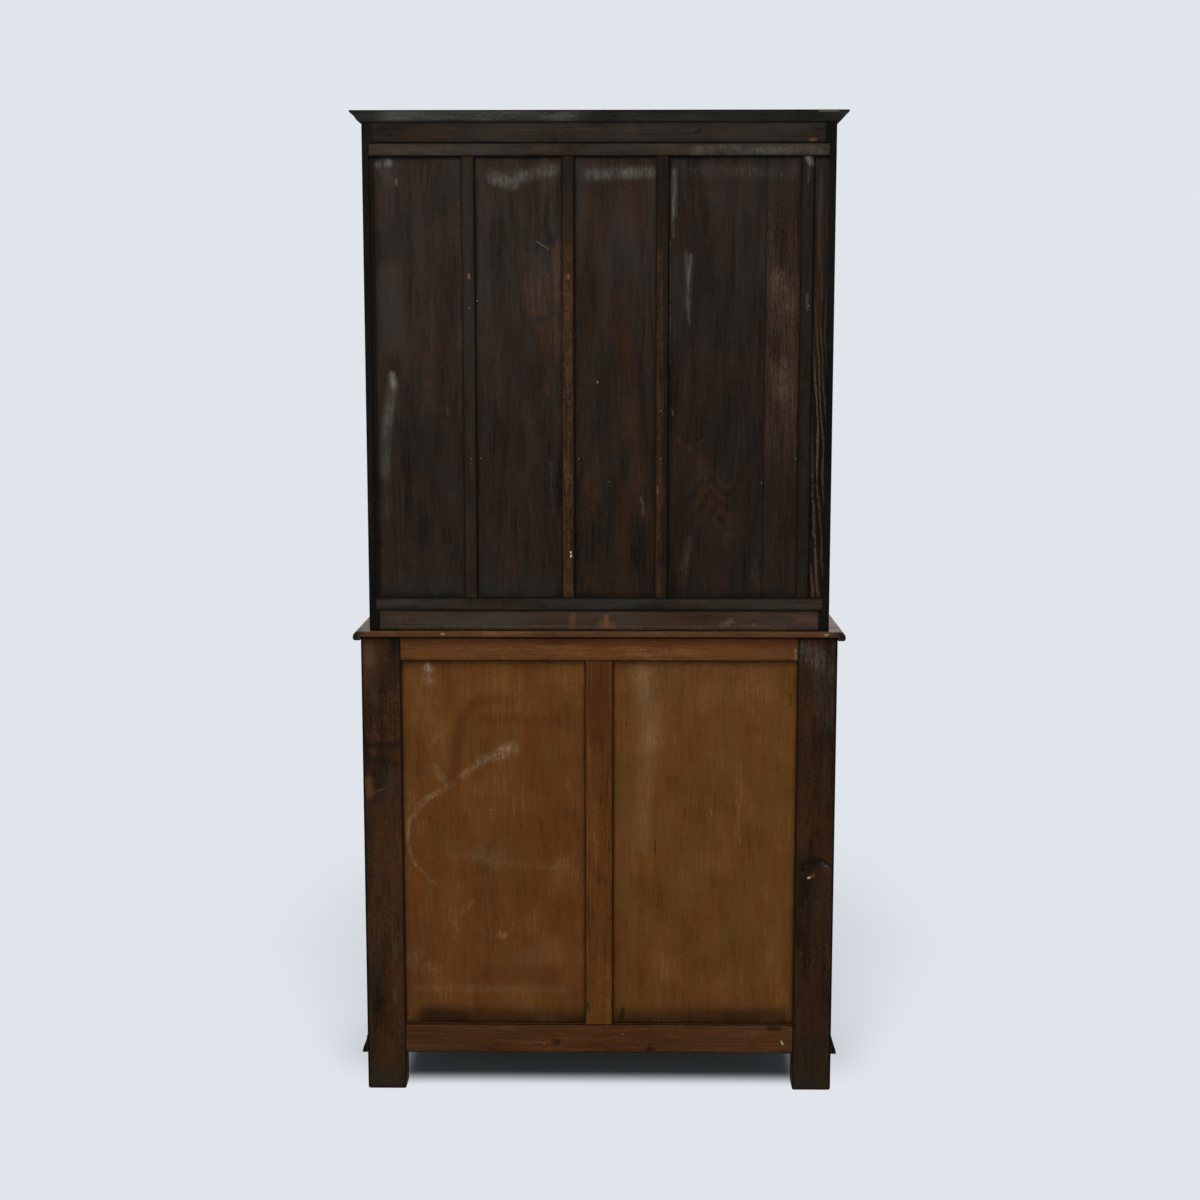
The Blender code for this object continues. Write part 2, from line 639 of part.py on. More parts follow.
def add_knob(name, place, host, carrier):
    """A turned knob whose spigot is glued into a hole in its host."""
    neck = KNOB_PROJECTION - KNOB_HEAD_THICKNESS
    belly = KNOB_PROJECTION - KNOB_HEAD_THICKNESS / 2
    dome = [(KNOB_HEAD_RADIUS * math.sin(angle), belly + (KNOB_PROJECTION - belly) * math.cos(angle))
            for angle in quarter()]
    under = [(KNOB_NECK_RADIUS + (KNOB_HEAD_RADIUS - KNOB_NECK_RADIUS) * math.cos(angle),
              belly - (belly - neck) * math.sin(angle)) for angle in quarter()]
    foot = [(KNOB_ROSE_RADIUS, KNOB_ROSE_THICKNESS), (KNOB_ROSE_RADIUS, FIT), (KNOB_SPIGOT_RADIUS, FIT),
            (KNOB_SPIGOT_RADIUS, -KNOB_SPIGOT_LENGTH), (0, -KNOB_SPIGOT_LENGTH)]
    knob = add_piece(name, profile_mesh(dome + under[1:] + foot), "post_oak", place, carrier)
    knob.rotation_euler.x = math.pi / 2
    turn(knob, KNOB_STEPS)
    hole = bmesh.new()
    wide = KNOB_SPIGOT_RADIUS + FIT
    deep = 2 * (KNOB_SPIGOT_LENGTH + FIT)
    bmesh.ops.create_cone(hole, cap_ends=True, segments=KNOB_STEPS, radius1=wide, radius2=wide, depth=deep)
    tool = add_tool(f"{name}_hole", hole, place)
    tool.rotation_euler.x = math.pi / 2
    combine(host, tool, 'DIFFERENCE')


# Doors

def build_door(label, side, post):
    """A door: a frame, a fielded panel in its grooves, a knob, and two butt hinges."""
    frame_box = on_side(Box(DOOR_GAP / 2, POST_IN - DOOR_GAP, FRONT, FRONT + RAIL_THICKNESS,
                            BOTTOM_RAIL_TOP + DOOR_GAP, DOOR_HEAD - DOOR_GAP), side)
    carrier = add_carrier(f"door_hinge_{label}", Vector((side * HINGE_X, HINGE_Y, centre_of(frame_box).z)))
    frame = add_board(f"door_frame_{label}", frame_box, "post_oak", carrier)
    light = frame_box._replace(x0=frame_box.x0 + DOOR_STILE, x1=frame_box.x1 - DOOR_STILE,
                               z0=frame_box.z0 + DOOR_BOTTOM_RAIL, z1=frame_box.z1 - DOOR_TOP_RAIL)
    through = light._replace(y0=FRONT - RAIL_THICKNESS, y1=FRONT + 2 * RAIL_THICKNESS)
    cut_box(f"door_light_{label}", through, frame)
    chamfer = light._replace(y0=FRONT - DOOR_CHAMFER, y1=FRONT + DOOR_CHAMFER)
    splayed = splayed_mesh(chamfer, 2 * DOOR_CHAMFER)
    combine(frame, add_tool(f"door_chamfer_{label}", splayed, centre_of(chamfer)), 'DIFFERENCE')
    edge_front = FRONT + (RAIL_THICKNESS - DOOR_PANEL_EDGE) / 2
    panel_box = Box(light.x0 - GROOVE_DEPTH, light.x1 + GROOVE_DEPTH,
                    edge_front, edge_front + DOOR_PANEL_EDGE,
                    light.z0 - GROOVE_DEPTH, light.z1 + GROOVE_DEPTH)
    seat(f"door_groove_{label}", panel_box, frame)
    add_piece(f"door_panel_{label}", fielded_mesh(panel_box), "post_oak", centre_of(panel_box), carrier)
    knob_x = side * (DOOR_GAP / 2 + DOOR_STILE / 2)
    add_knob(f"door_knob_{label}", (knob_x, FRONT, DOOR_KNOB_HEIGHT), frame, carrier)
    add_hinge(f"{label}_lower", side, frame_box.z0 + HINGE_INSET, post, frame, carrier)
    add_hinge(f"{label}_upper", side, frame_box.z1 - HINGE_INSET - HINGE_HEIGHT, post, frame, carrier)


def splayed_mesh(box, splay):
    """A box that widens towards the front by the same amount all round."""
    bm = board_mesh(box, 0)
    half = size_of(box) / 2
    front = [vert for vert in bm.verts if vert.co.y < 0]
    wider = Vector((1 + splay / half.x, 1, 1 + splay / half.z))
    bmesh.ops.scale(bm, vec=wider, verts=front)
    return bm


def fielded_mesh(box):
    """A panel whose front rises from thin edges, over a broad bevel and a small step, to a flat field."""
    bm = board_mesh(box, 0)
    bm.normal_update()
    face = min(bm.faces, key=lambda one: one.normal.y)
    for width, rise in ((GROOVE_DEPTH + FIT, 0), (FIELD_BEVEL, FIELD_BEVEL_RISE), (0, FIELD_STEP)):
        bmesh.ops.inset_individual(bm, faces=[face], thickness=width, depth=rise, use_even_offset=True)
    return bm


def add_hinge(label, side, foot, post, door, carrier):
    """A butt hinge, let into the wood: a post leaf that holds the pin, and a door leaf that turns on it."""
    third = HINGE_HEIGHT / 3
    low = third - KNUCKLE_GAP / 2
    high = 2 * third + KNUCKLE_GAP / 2
    rear = LEAF_WIDTH + KNUCKLE_RADIUS + KNUCKLE_CLEARANCE
    face = KNUCKLE_RADIUS + KNUCKLE_CLEARANCE
    wall = (PIN_RADIUS + PIN_CLEARANCE + KNUCKLE_RADIUS) / 2
    axis = Vector((side * HINGE_X, HINGE_Y, foot))

    barrel = [(0, HINGE_HEIGHT), (KNUCKLE_RADIUS, HINGE_HEIGHT), (KNUCKLE_RADIUS, high), (PIN_RADIUS, high),
              (PIN_RADIUS, low), (KNUCKLE_RADIUS, low), (KNUCKLE_RADIUS, 0), (0, 0)]
    post_leaf = add_piece(f"hinge_post_leaf_{label}", profile_mesh(barrel), "brass", axis)
    plate = [(rear, 0), (rear, HINGE_HEIGHT), (0, HINGE_HEIGHT), (0, high),
             (face, high), (face, low), (0, low), (0, 0)]
    post_face = POST_IN + LEAF_THICKNESS / 2
    finish_leaf(post_leaf, plate, Vector((side * post_face, HINGE_Y, foot)), post)

    knuckle_low = third + KNUCKLE_GAP / 2
    knuckle_high = 2 * third - KNUCKLE_GAP / 2
    bore = PIN_RADIUS + PIN_CLEARANCE
    knuckle = profile_mesh([(bore, knuckle_high), (KNUCKLE_RADIUS, knuckle_high),
                            (KNUCKLE_RADIUS, knuckle_low), (bore, knuckle_low)], closed=True)
    door_leaf = add_piece(f"hinge_door_leaf_{label}", knuckle, "brass", axis, carrier)
    plate = [(rear, 0), (rear, HINGE_HEIGHT), (face, HINGE_HEIGHT), (face, knuckle_high),
             (wall, knuckle_high), (wall, knuckle_low), (face, knuckle_low), (face, 0)]
    door_face = POST_IN - DOOR_GAP - LEAF_THICKNESS / 2
    finish_leaf(door_leaf, plate, Vector((side * door_face, HINGE_Y, foot)), door)


def finish_leaf(leaf, plate, place, host):
    """Turns a leaf's knuckles, joins its plate to them and lets the plate into the wood."""
    turn(leaf, KNUCKLE_STEPS)
    combine(leaf, add_tool(f"{leaf.name}_plate", extruded_mesh(plate, 0, LEAF_THICKNESS), place), 'UNION')
    let_in = Box(place.x - LEAF_THICKNESS / 2, place.x + LEAF_THICKNESS / 2, FRONT, FRONT + LEAF_WIDTH,
                 place.z, place.z + HINGE_HEIGHT)
    seat(f"{leaf.name}_recess", let_in, host)


# Rack

def build_rack_case():
    """Sides of the rack, rebated for its back, and the rails between them."""
    sides = []
    for label, side in SIDES:
        board = on_side(Box(RACK_IN, HALF_RACK, RACK_FRONT, BACK, RACK_FOOT, RACK_HEAD), side)
        sides.append(add_board(f"rack_side_{label}", board, "rack_dark_oak"))
    end = RACK_IN - FIT
    top_box = Box(-end, end, BACK - RACK_RAIL_THICKNESS, BACK, RACK_HEAD - RACK_TOP_RAIL_HEIGHT, RACK_HEAD)
    bottom_box = top_box._replace(z0=RACK_FOOT, z1=RACK_FOOT + RACK_BOTTOM_RAIL_HEIGHT)
    frieze_front = RACK_FRONT + FRIEZE_SETBACK
    frieze_box = top_box._replace(y0=frieze_front, y1=frieze_front + RACK_RAIL_THICKNESS,
                                  z0=RACK_HEAD - FRIEZE_HEIGHT)
    for name, box in (("rack_rear_top_rail", top_box), ("rack_rear_bottom_rail", bottom_box),
                      ("frieze_rail", frieze_box)):
        add_rail(name, box, RACK_RAIL_TENON, "rack_dark_oak")
        seat(f"{name}_mortises", tenon_box(box, RACK_RAIL_TENON), *sides)
    rebate = Box(-BACK_FRAME_HALF, BACK_FRAME_HALF,
                 BACK_FRAME_Y - BACK_FRAME_THICKNESS, BACK + BACK_FRAME_THICKNESS,
                 BACK_FRAME_FOOT, BACK_FRAME_HEAD)
    seat("rack_back_rebate", rebate, *sides)
    return sides


def build_rack_back():
    """Framed back of the rack: two rails, four muntins and five panels of unequal width."""
    frame = Box(-BACK_FRAME_HALF, BACK_FRAME_HALF, BACK_FRAME_Y - BACK_FRAME_THICKNESS, BACK_FRAME_Y,
                RACK_PANEL_HEAD, BACK_FRAME_HEAD)
    top_rail = add_board("back_frame_top_rail", frame, "rack_dark_oak", along=0)
    bottom_rail = add_board("back_frame_bottom_rail", frame._replace(z0=BACK_FRAME_FOOT, z1=RACK_PANEL_FOOT),
                            "rack_dark_oak", along=0)
    half = RACK_MUNTIN_WIDTH / 2
    muntins = []
    for number, place in enumerate(RACK_MUNTIN_PLACES, 1):
        middle = place * BACK_FRAME_HALF
        box = frame._replace(x0=middle - half, x1=middle + half,
                             z0=RACK_PANEL_FOOT + FIT, z1=RACK_PANEL_HEAD - FIT)
        muntin = add_rail(f"rack_muntin_{number}", box, RACK_MUNTIN_TENON, "rack_dark_oak", RACK_MUNTIN_ROUND)
        muntins.append(muntin)
        seat(f"rack_muntin_mortises_{number}", tenon_box(box, RACK_MUNTIN_TENON), top_rail, bottom_rail)
    buried = half - RACK_GROOVE_DEPTH
    middles = [place * BACK_FRAME_HALF for place in RACK_MUNTIN_PLACES]
    right_ends = [BACK_FRAME_HALF] + [middle - buried for middle in middles]
    left_ends = [middle + buried for middle in middles] + [-BACK_FRAME_HALF]
    face = BACK_FRAME_Y - RACK_PANEL_SETBACK
    for number, (right, left) in enumerate(zip(right_ends, left_ends), 1):
        box = Box(left, right, face - RACK_PANEL_THICKNESS, face,
                  RACK_PANEL_FOOT - RACK_GROOVE_DEPTH, RACK_PANEL_HEAD + RACK_GROOVE_DEPTH)
        panel = add_board(f"rack_panel_{number}", box, "rack_dark_oak", ease=0)
        seat(f"rack_panel_groove_{number}", box, top_rail, bottom_rail, *muntins[max(number - 2, 0):number])
        if number == JOINTED_PANEL:
            middle = BOARD_JOINT_PLACE * BACK_FRAME_HALF
            joint = Box(middle - BOARD_JOINT_WIDTH / 2, middle + BOARD_JOINT_WIDTH / 2,
                        face - BOARD_JOINT_DEPTH, face + BOARD_JOINT_DEPTH,
                        box.z0 - BOARD_JOINT_DEPTH, box.z1 + BOARD_JOINT_DEPTH)
            cut_box("board_joint", joint, panel)


def build_rack_shelves(sides):
    """Two shelves with a round nose and a groove for plates, housed in the sides."""
    start = RACK_FRONT + SHELF_SETBACK
    stop = BACK_FRAME_Y - BACK_FRAME_THICKNESS - FIT
    length = 2 * (RACK_IN + SHELF_HOUSING)
    groove = stop - PLATE_GROOVE_FROM_BACK
    radius = SHELF_NOSE_RADIUS
    upper_nose = [(start + radius - radius * math.sin(angle), -radius + radius * math.cos(angle))
                  for angle in quarter()]
    lower_nose = [(y, -SHELF_THICKNESS - z) for y, z in reversed(upper_nose)]
    section = [(stop, -SHELF_THICKNESS), (stop, 0), (groove + PLATE_GROOVE_WIDTH / 2, 0),
               (groove, -PLATE_GROOVE_DEPTH), (groove - PLATE_GROOVE_WIDTH / 2, 0), *upper_nose, *lower_nose]
    for label, height in (("lower", LOWER_SHELF_HEIGHT), ("upper", UPPER_SHELF_HEIGHT)):
        top = BASE_HEIGHT + height
        add_piece(f"rack_shelf_{label}", extruded_mesh(section, 0, length), "rack_dark_oak", (0, 0, top))
        housing = Box(-length / 2, length / 2, start, stop, top - SHELF_THICKNESS, top)
        seat(f"rack_shelf_housing_{label}", housing, *sides)


def build_cornice():
    """Top board of the rack, with a fillet, an ogee and a small lip on its front and sides."""
    top = CORNICE_FOOT + CORNICE_THICKNESS
    drop = CORNICE_THICKNESS - CORNICE_LIP
    sweep = CORNICE_OUT - CORNICE_FILLET
    ogee = [(CORNICE_FILLET + sweep * share, CORNICE_FOOT + drop * (1 - math.cos(math.pi * share)) / 2)
            for share in shares(2 * CURVE_STEPS)]
    bm = moulded_board_mesh(HALF_RACK, RACK_FRONT, BACK, [*ogee, (CORNICE_OUT, top)])
    add_piece("cornice_board", bm, "rack_dark_oak", (0, 0, 0))


def build_dresser():
    """Builds every piece of the dresser."""
    posts = build_posts()
    build_base_back(posts)
    build_base_sides(posts)
    build_front_rails(posts)
    build_drawer_deck(posts)
    build_cupboard_floor(posts)
    build_base_top()
    build_base_moulding()
    for label, side in SIDES:
        build_drawer(label, side)
        build_door(label, side, posts["front", side])
    sides = build_rack_case()
    build_rack_back()
    build_rack_shelves(sides)
    build_cornice()


clear_scene()
PARTS = new_collection("dresser")
TOOLS = new_collection("cutters")
MATERIALS = {name: new_material(name) for name in FINISHES}
build_dresser()
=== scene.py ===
"""Looks of the dresser: wood, wear, small fittings, camera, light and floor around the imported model.

Lengths are in metres in the row's own frame, and those of the marks in millimetres. The dresser's back faces
+Y, and its right side is at +X. Colours are written as display values from 0 to 255.
"""

import math
from typing import NamedTuple

import bmesh
import bpy
from mathutils import Matrix, Vector


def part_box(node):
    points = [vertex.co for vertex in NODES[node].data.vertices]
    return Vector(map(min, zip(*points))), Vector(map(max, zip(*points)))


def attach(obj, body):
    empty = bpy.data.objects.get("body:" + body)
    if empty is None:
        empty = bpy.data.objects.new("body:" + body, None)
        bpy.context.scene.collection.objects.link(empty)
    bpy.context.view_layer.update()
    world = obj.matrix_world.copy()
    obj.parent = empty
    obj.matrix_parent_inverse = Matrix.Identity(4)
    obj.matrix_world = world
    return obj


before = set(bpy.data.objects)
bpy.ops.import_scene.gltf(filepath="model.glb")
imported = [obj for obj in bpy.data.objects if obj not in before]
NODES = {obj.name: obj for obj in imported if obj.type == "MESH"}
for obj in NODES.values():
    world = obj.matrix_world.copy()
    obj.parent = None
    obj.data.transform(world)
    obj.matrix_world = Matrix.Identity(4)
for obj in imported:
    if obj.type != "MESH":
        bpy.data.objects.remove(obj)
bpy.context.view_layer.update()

# Units of the marks
MM = 0.001
PERCENT = 0.01

# Camera
CAMERA_AT = (-0.0435, 3.779, 1.4687)
CAMERA_AIM = (0.01157, -0.99073, -0.13537)
CAMERA_LENS = 56.05
SENSOR_WIDTH = 36.0

# Backdrop, floor and light
BACKDROP = (224, 229, 235)
FLOOR_RADIUS = 14.0
FLOOR_STEPS = 96
# Darker tones the camera sees on the floor where shade is painted: round the dresser, and deep under it
FLOOR_TONE = (160, 166, 172)
FLOOR_DEEP = (136, 159, 174)
SKY_LEVEL = 0.5
LAMP_SIZE = 2.2
LAMP_POWER = 114.0
LAMP_AIM = (0.0, 0.0, 0.9)
REAR_LAMP_AT = (0.5, 2.3, 4.4)
FRONT_LAMP_AT = (-0.7, -2.3, 4.4)

# Shade under the dresser, its real shadow in a painted darker tone: the half sizes of its core, and how far
# the deep tone and the shade run out
SHADOW_HALF = (0.375, 0.13)
DEEP_SPAN = (0.0, 0.05)
SHADOW_NEAR = (0.0, 0.086)

# Painted soft shadow round it, over the real one: its ends behind and in front, its inner and outer edges at
# the sides, how much wider it grows for each metre to the front, its widest edge, and its depth
SHADOW_REAR = (0.23, 0.0)
SHADOW_FRONT = (-1.9, -0.8)
SHADOW_INNER = 0.48
SHADOW_OUTER = 0.63
SHADOW_SPREAD = 0.42
SHADOW_WIDEST = 0.92
SHADOW_KEPT = 0.3

# Colours of wear, some also used for painted shade and highlights
CHALK = (152, 150, 142)
DUST = (172, 150, 118)
ORANGE = (118, 76, 42)
STAIN = (70, 34, 14)
KNOT = (22, 14, 9)
FLECK = (196, 178, 132)
# Dark tone for grime and for painted shade: joint lines, shaded edges and shadows under overhangs
SHADE_AND_GRIME = (13, 12, 9)
SLATE = (36, 40, 38)
OLIVE = (42, 34, 19)

# Metals: the tone where clean, the tone where dull, and the roughness
BRASS = ((178, 138, 76), (92, 70, 40), 0.48)
IRON = ((96, 94, 88), (64, 61, 57), 0.7)
METAL_RUBBED = 0.6
METAL_POLISH = 0.18
METAL_EDGE = 0.0008

# Nails and screws
NAIL_RADIUS = 0.0017
NAIL_RISE = 0.0006
NAIL_STEPS = 14
NAIL_RINGS = (1.0, 0.75, 0.4)
NAIL_HALO = 0.0048
NAIL_HALO_SHARE = 0.75
SCREW_RADIUS = 0.0026
SCREW_RISE = 0.00025
SLOT_WIDTH = 0.0007
SCREW_STEPS = 20
SCREW_INSET = 0.01
SCREW_TURN = 0.6
SCREW_NEXT_TURN = 1.1
LEAF_MIDDLE = 0.008

# Boards: where pieces of two boards change from one to the other
NARROW_BOARD_X = -0.3128
NARROW_FOOT = (1.16, 1.34)
NARROW_HEAD = (1.78, 1.66)
BOLD_SPAN = (1.6, 1.3)
BOARD_LEAST = 0.25
TOP_END_SPAN = (0.444, 0.464)
TOP_REAR_SPAN = (0.18, 0.215)
REAR_SKIN = 0.0025
DECK_EDGE = 0.022
PANEL_LIP = 0.006
BOX_SIDE = 0.01

# Figure of a board: how noise is moved by the seed and for each texture, and how the rings bend and darken
SEED_STEP = (1.7, 2.3, 3.1)
TEXTURE_STEP = (0.37, 0.53, 0.71)
SECOND_BOARD_SEED = 70
WANDER_REACH = 0.05
RIPPLE_REACH = 0.006
RING_DARKENS = (0.15, 0.82)
RING_ENDS = (1.0, 0.9)

# A board's pith line: its lowest and highest place and lean, and the turn by which the seed picks one
PITH_ACROSS = (-0.06, 0.06, 0.618)
PITH_BEHIND = (-0.14, -0.06, 0.414)
LEAN_ACROSS = (-0.04, 0.04, 0.732)
LEAN_BEHIND = (-0.09, 0.09, 0.236)

# Surface: the parts of a tone and its middle, the heights where the rack's back darkens, film, gloss and bump
TONE_PARTS = ("Rings", "Fibre", "Grain", "Streaks", "Blotch", "Speckle")
TONE_MIDDLE = 0.5
FALL_SPAN = (1.45, 1.0)
FILM_LEAST = 0.25
ROUGH_LIFT = 0.05
STREAK_POLISH = 0.1
FILM_DULLNESS = 0.12
BUMP_STRENGTH = 0.35
BUMP_HEIGHT = 0.0005

# Wear and painted shade: how deep a rear face counts as one, the solid share of a mark's width, how far
# painted shade and dirt reach from a joint and where they are darkest, and edges, worn or darkened
REAR_DEPTHS = (0.004, 0.003)
STROKE_CORE = 0.15
JOINT_REACH = 0.0036
JOINT_CORE = 0.001
EDGE_RADIUS = 0.003
EDGE_SAMPLES = 4
EDGE_SPAN = (0.995, 0.9)

# Specks of ply as (tone, spacing, radius), with the share of each that is solid and the cells left empty
SPECKS = ((FLECK, 0.055, 0.0011), (KNOT, 0.07, 0.0013))
SPECK_CORE = 0.5
SPECK_EMPTY = 0.55

# Knots as (x, z, half width, half height), with a heart, and a ring that is open below
KNOTS = {
    "rear_post_left": ((-0.425, 0.462, 0.022, 0.009),),
}
KNOT_BEND = 0.6
KNOT_HEART = (0.75, 0.35)
KNOT_HEART_SHARE = 0.7
KNOT_RING_INNER = (0.8, 1.1)
KNOT_RING_OUTER = (1.5, 1.2)
KNOT_RING_FOOT = (-0.3, 0.4)

# Arched figure as (x, z, half width, half height, rise, gap), with the two sides of each line and its fading
ARCHES = {
    "rack_panel_4": ((-0.222, 1.17, 0.085, 0.11, 0.06, 0.032),),
}
ARCH_LINE_RISE = (0.0, 0.2)
ARCH_LINE_FALL = (0.75, 0.2)
ARCH_FADE = (1.0, 0.3)
ARCH_SHARE = 0.085

# Noise as its scale along the first two axes and the third, its detail, and the span spread from 0 to 1
RING_WANDER = (5, 1.4, 2, 0.2, 0.8)
RING_RIPPLE = (40, 9, 2, 0.2, 0.8)
RING_WAVE = (36, 48, 1, 0.2, 0.8)
BORDER_PATCHES = (24, 24, 5, 0.3, 0.7)
KNOT_WOBBLE = (90, 90, 3, 0.2, 0.8)
KNOT_BREAKS = (110, 110, 4, 0.25, 0.5)
ARCH_WOBBLE = (24, 6, 3, 0.2, 0.8)
ARCH_PATCHES = (30, 30, 3, 0.3, 0.6)
STROKE_CLOUDS = (70, 45, 5, 0.3, 0.7)
STROKE_CHALK = (330, 110, 3, 0.3, 0.58)
EDGE_PATCHES = (34, 34, 3, 0.25, 0.65)
METAL_PATCHES = (180, 180, 4, 0.35, 0.65)
FIGURE_NOISE = {
    "Fibre": (420, 16, 4, 0.32, 0.68),
    "Grain": (190, 9, 4, 0.33, 0.67),
    "Streaks": (60, 2.2, 4, 0.3, 0.7),
    "Blotch": (12, 6, 4, 0.3, 0.7),
    "Speckle": (300, 140, 3, 0.3, 0.7),
    "Pores": (900, 28, 1, 0.56, 0.7),
    "Film": (28, 5, 4, 0.36, 0.7),
    "Warm": (26, 7, 4, 0.42, 0.66),
    "Cool": (18, 6, 4, 0.44, 0.66),
    "Brush": (240, 14, 3, 0.4, 0.6),
}


class Wood(NamedTuple):
    """How one kind of wood looks: its tones, and the strength of each part of its figure and wear."""

    dark: tuple
    mid: tuple
    light: tuple
    film: tuple
    # Edges: their tone and share; the dark default is painted shade on the corners, with grime
    edge: tuple = SHADE_AND_GRIME
    edge_share: float = 0.6
    gap: float = 0.008
    pith: tuple = ()
    curl: float = 0.0
    stretch: float = 1.0
    rings: float = 0.1
    fibre: float = 0.2
    grain: float = 0.16
    streaks: float = 0.2
    blotch: float = 0.5
    speckle: float = 0.2
    pores: float = 0.2
    film_share: float = 0.2
    film_rise: tuple = ()
    fall: float = 0.0
    warm: tuple = (62, 39, 21)
    warm_share: float = 0.0
    cool: tuple = (38, 39, 34)
    cool_share: float = 0.0
    # Painted shade with grime along a rear face's borders: reach, share, and x0 and x1 shares set by the
    # light
    rim: float = 0.0
    rim_share: float = 0.75
    rim_sides: tuple = (0.9, 0.9)
    specks: float = 0.0
    rough: float = 0.7
    shine: float = 0.03


# Painted shade at the rack's joints lies on a panel's +x border and a muntin's -x edge, turned from the light
RACK_BACK = Wood((17, 13, 10), (36, 28, 22), (56, 43, 33), (57, 53, 51), film_share=0.46,
                 film_rise=(1.15, 1.75), fall=0.12, grain=0.26, fibre=0.28, streaks=0.16, blotch=0.34,
                 speckle=0.32, warm=(62, 40, 25), warm_share=0.38, cool=(37, 37, 34), cool_share=0.34,
                 rim=0.01, rim_sides=(0.55, 1.0))
RACK_RED = RACK_BACK._replace(warm=(64, 38, 22), warm_share=0.46, cool_share=0.22)
RACK_BOARD = RACK_BACK._replace(dark=(24, 17, 13), mid=(50, 37, 29), light=(84, 62, 48), gap=0.0042,
                                pith=(0.09, -0.06), curl=0.004, rings=0.42, fall=0.0, film_share=0.1,
                                cool_share=0.1)
RACK_BOLD = RACK_BACK._replace(dark=(17, 14, 11), mid=(28, 23, 18), light=(86, 72, 56), gap=0.0095,
                               pith=(0.05, -0.03), rings=0.85, film_share=0.1, cool_share=0.15)
RACK_RAIL = Wood((22, 18, 15), (37, 31, 26), (54, 44, 36), (64, 60, 55), film_share=0.28, rings=0.12,
                 grain=0.3, fibre=0.26, speckle=0.3, warm_share=0.3, cool_share=0.32, rim=0.0045,
                 rim_sides=(0.8, 0.8))
RACK_DUSTY = Wood((28, 26, 22), (39, 37, 33), (58, 56, 51), (86, 85, 80), film_share=0.45, blotch=0.6,
                  speckle=0.5, grain=0.26, rim=0.0035)
RACK_MUNTIN = Wood((19, 14, 10), (35, 26, 18), (54, 39, 26), (52, 50, 47), grain=0.26,
                   warm_share=0.3, cool_share=0.3, rim=0.006, rim_share=0.85, rim_sides=(1.0, 0.45))
RACK_EDGE = Wood((10, 10, 8), (17, 15, 13), (30, 26, 21), (40, 39, 35), edge_share=0.3)
OAK = Wood((34, 21, 12), (54, 34, 20), (76, 50, 29), (70, 54, 40), edge=(98, 68, 44), edge_share=0.45,
           rings=0.3, grain=0.26, fibre=0.25, pores=0.6, film_share=0.05, warm=(74, 44, 22), warm_share=0.25,
           rough=0.48, shine=0.22)
MOULDING_OAK = OAK._replace(shine=0.04)
POST = Wood((22, 13, 7), (43, 27, 15), (66, 42, 23), (58, 51, 45), film_share=0.12, grain=0.28, fibre=0.25,
            streaks=0.3, blotch=0.62, speckle=0.5, warm=(72, 41, 18), warm_share=0.45, cool=(34, 33, 27),
            cool_share=0.36, rim=0.006, rim_share=0.85)
PINE = Wood((56, 31, 14), (80, 48, 24), (102, 67, 39), (104, 86, 66), film_share=0.08, rings=0.08, grain=0.3,
            fibre=0.3, speckle=0.28, blotch=0.34, warm=(94, 52, 20), warm_share=0.35, cool=(62, 42, 25),
            cool_share=0.25, rim=0.004)
MUNTIN_PINE = PINE._replace(dark=(56, 30, 10), mid=(82, 48, 18), light=(104, 66, 30), film_share=0.03)
PLY = Wood((70, 38, 14), (92, 54, 22), (112, 72, 35), (118, 94, 62), edge_share=0.0, rings=0.0,
           grain=0.17, streaks=0.1, speckle=0.24, pores=0.25, film_share=0.1, specks=0.75,
           warm=(98, 50, 15), warm_share=0.4, cool=(80, 56, 26), cool_share=0.35, stretch=1.5, rim=0.008,
           rim_sides=(0.7, 0.9))
PLY_OLIVE = PLY._replace(mid=(93, 57, 23), warm=(96, 53, 17), warm_share=0.3, cool=(84, 59, 26),
                         cool_share=0.4)
TOP = Wood((58, 33, 15), (84, 52, 25), (110, 73, 40), (110, 90, 66), edge=(128, 90, 50), edge_share=0.5,
           rings=0.25, pores=0.5, film_share=0.05, rough=0.32, shine=0.12)
TOP_END = TOP._replace(dark=(20, 13, 8), mid=(34, 22, 13), light=(52, 34, 20), shine=0.05)
BARE = Wood((112, 80, 49), (142, 105, 67), (165, 128, 88), (150, 128, 100), edge=(100, 74, 48),
            edge_share=0.3, rings=0.4, film_share=0.1, rough=0.62, shine=0.2)


# How bright a piece of the back is beside others of its wood
GAINS = {
    "rack_panel_1": 0.96,
    "rack_panel_2": 0.97,
    "rack_panel_3": 0.88,
    "rack_panel_4": 0.76,
    "rack_panel_5": 0.95,
    "rack_muntin_1": 1.05,
    "rack_muntin_2": 0.78,
    "rack_muntin_3": 0.74,
    "rack_muntin_4": 0.65,
    "rack_rear_top_rail": 0.9,
    "back_frame_top_rail": 1.24,
    "back_frame_bottom_rail": 1.12,
    "rack_rear_bottom_rail": 1.26,
    "rear_post_left": 0.88,
    "rear_post_right": 1.05,
    "back_top_rail": 1.38,
    "back_bottom_rail": 0.84,
    "back_muntin": 1.18,
    "back_panel_left": 1.05,
    "back_panel_right": 1.05,
}

# Nails through the back, as (x, z) on the node that they show in
NAILS = {
    "rack_muntin_1": ((0.2443, 1.537), (0.2432, 1.2535)),
    "rack_panel_2": ((0.2291, 1.55), (0.2242, 1.2535)),
    "rack_panel_3": ((0.0379, 1.2536),),
    "rack_muntin_3": ((-0.1178, 1.2537), (-0.1175, 1.344)),
    "rack_panel_4": ((-0.3099, 1.208), (-0.374, 1.2539)),
    "rack_muntin_4": ((-0.394, 1.5407),),
}


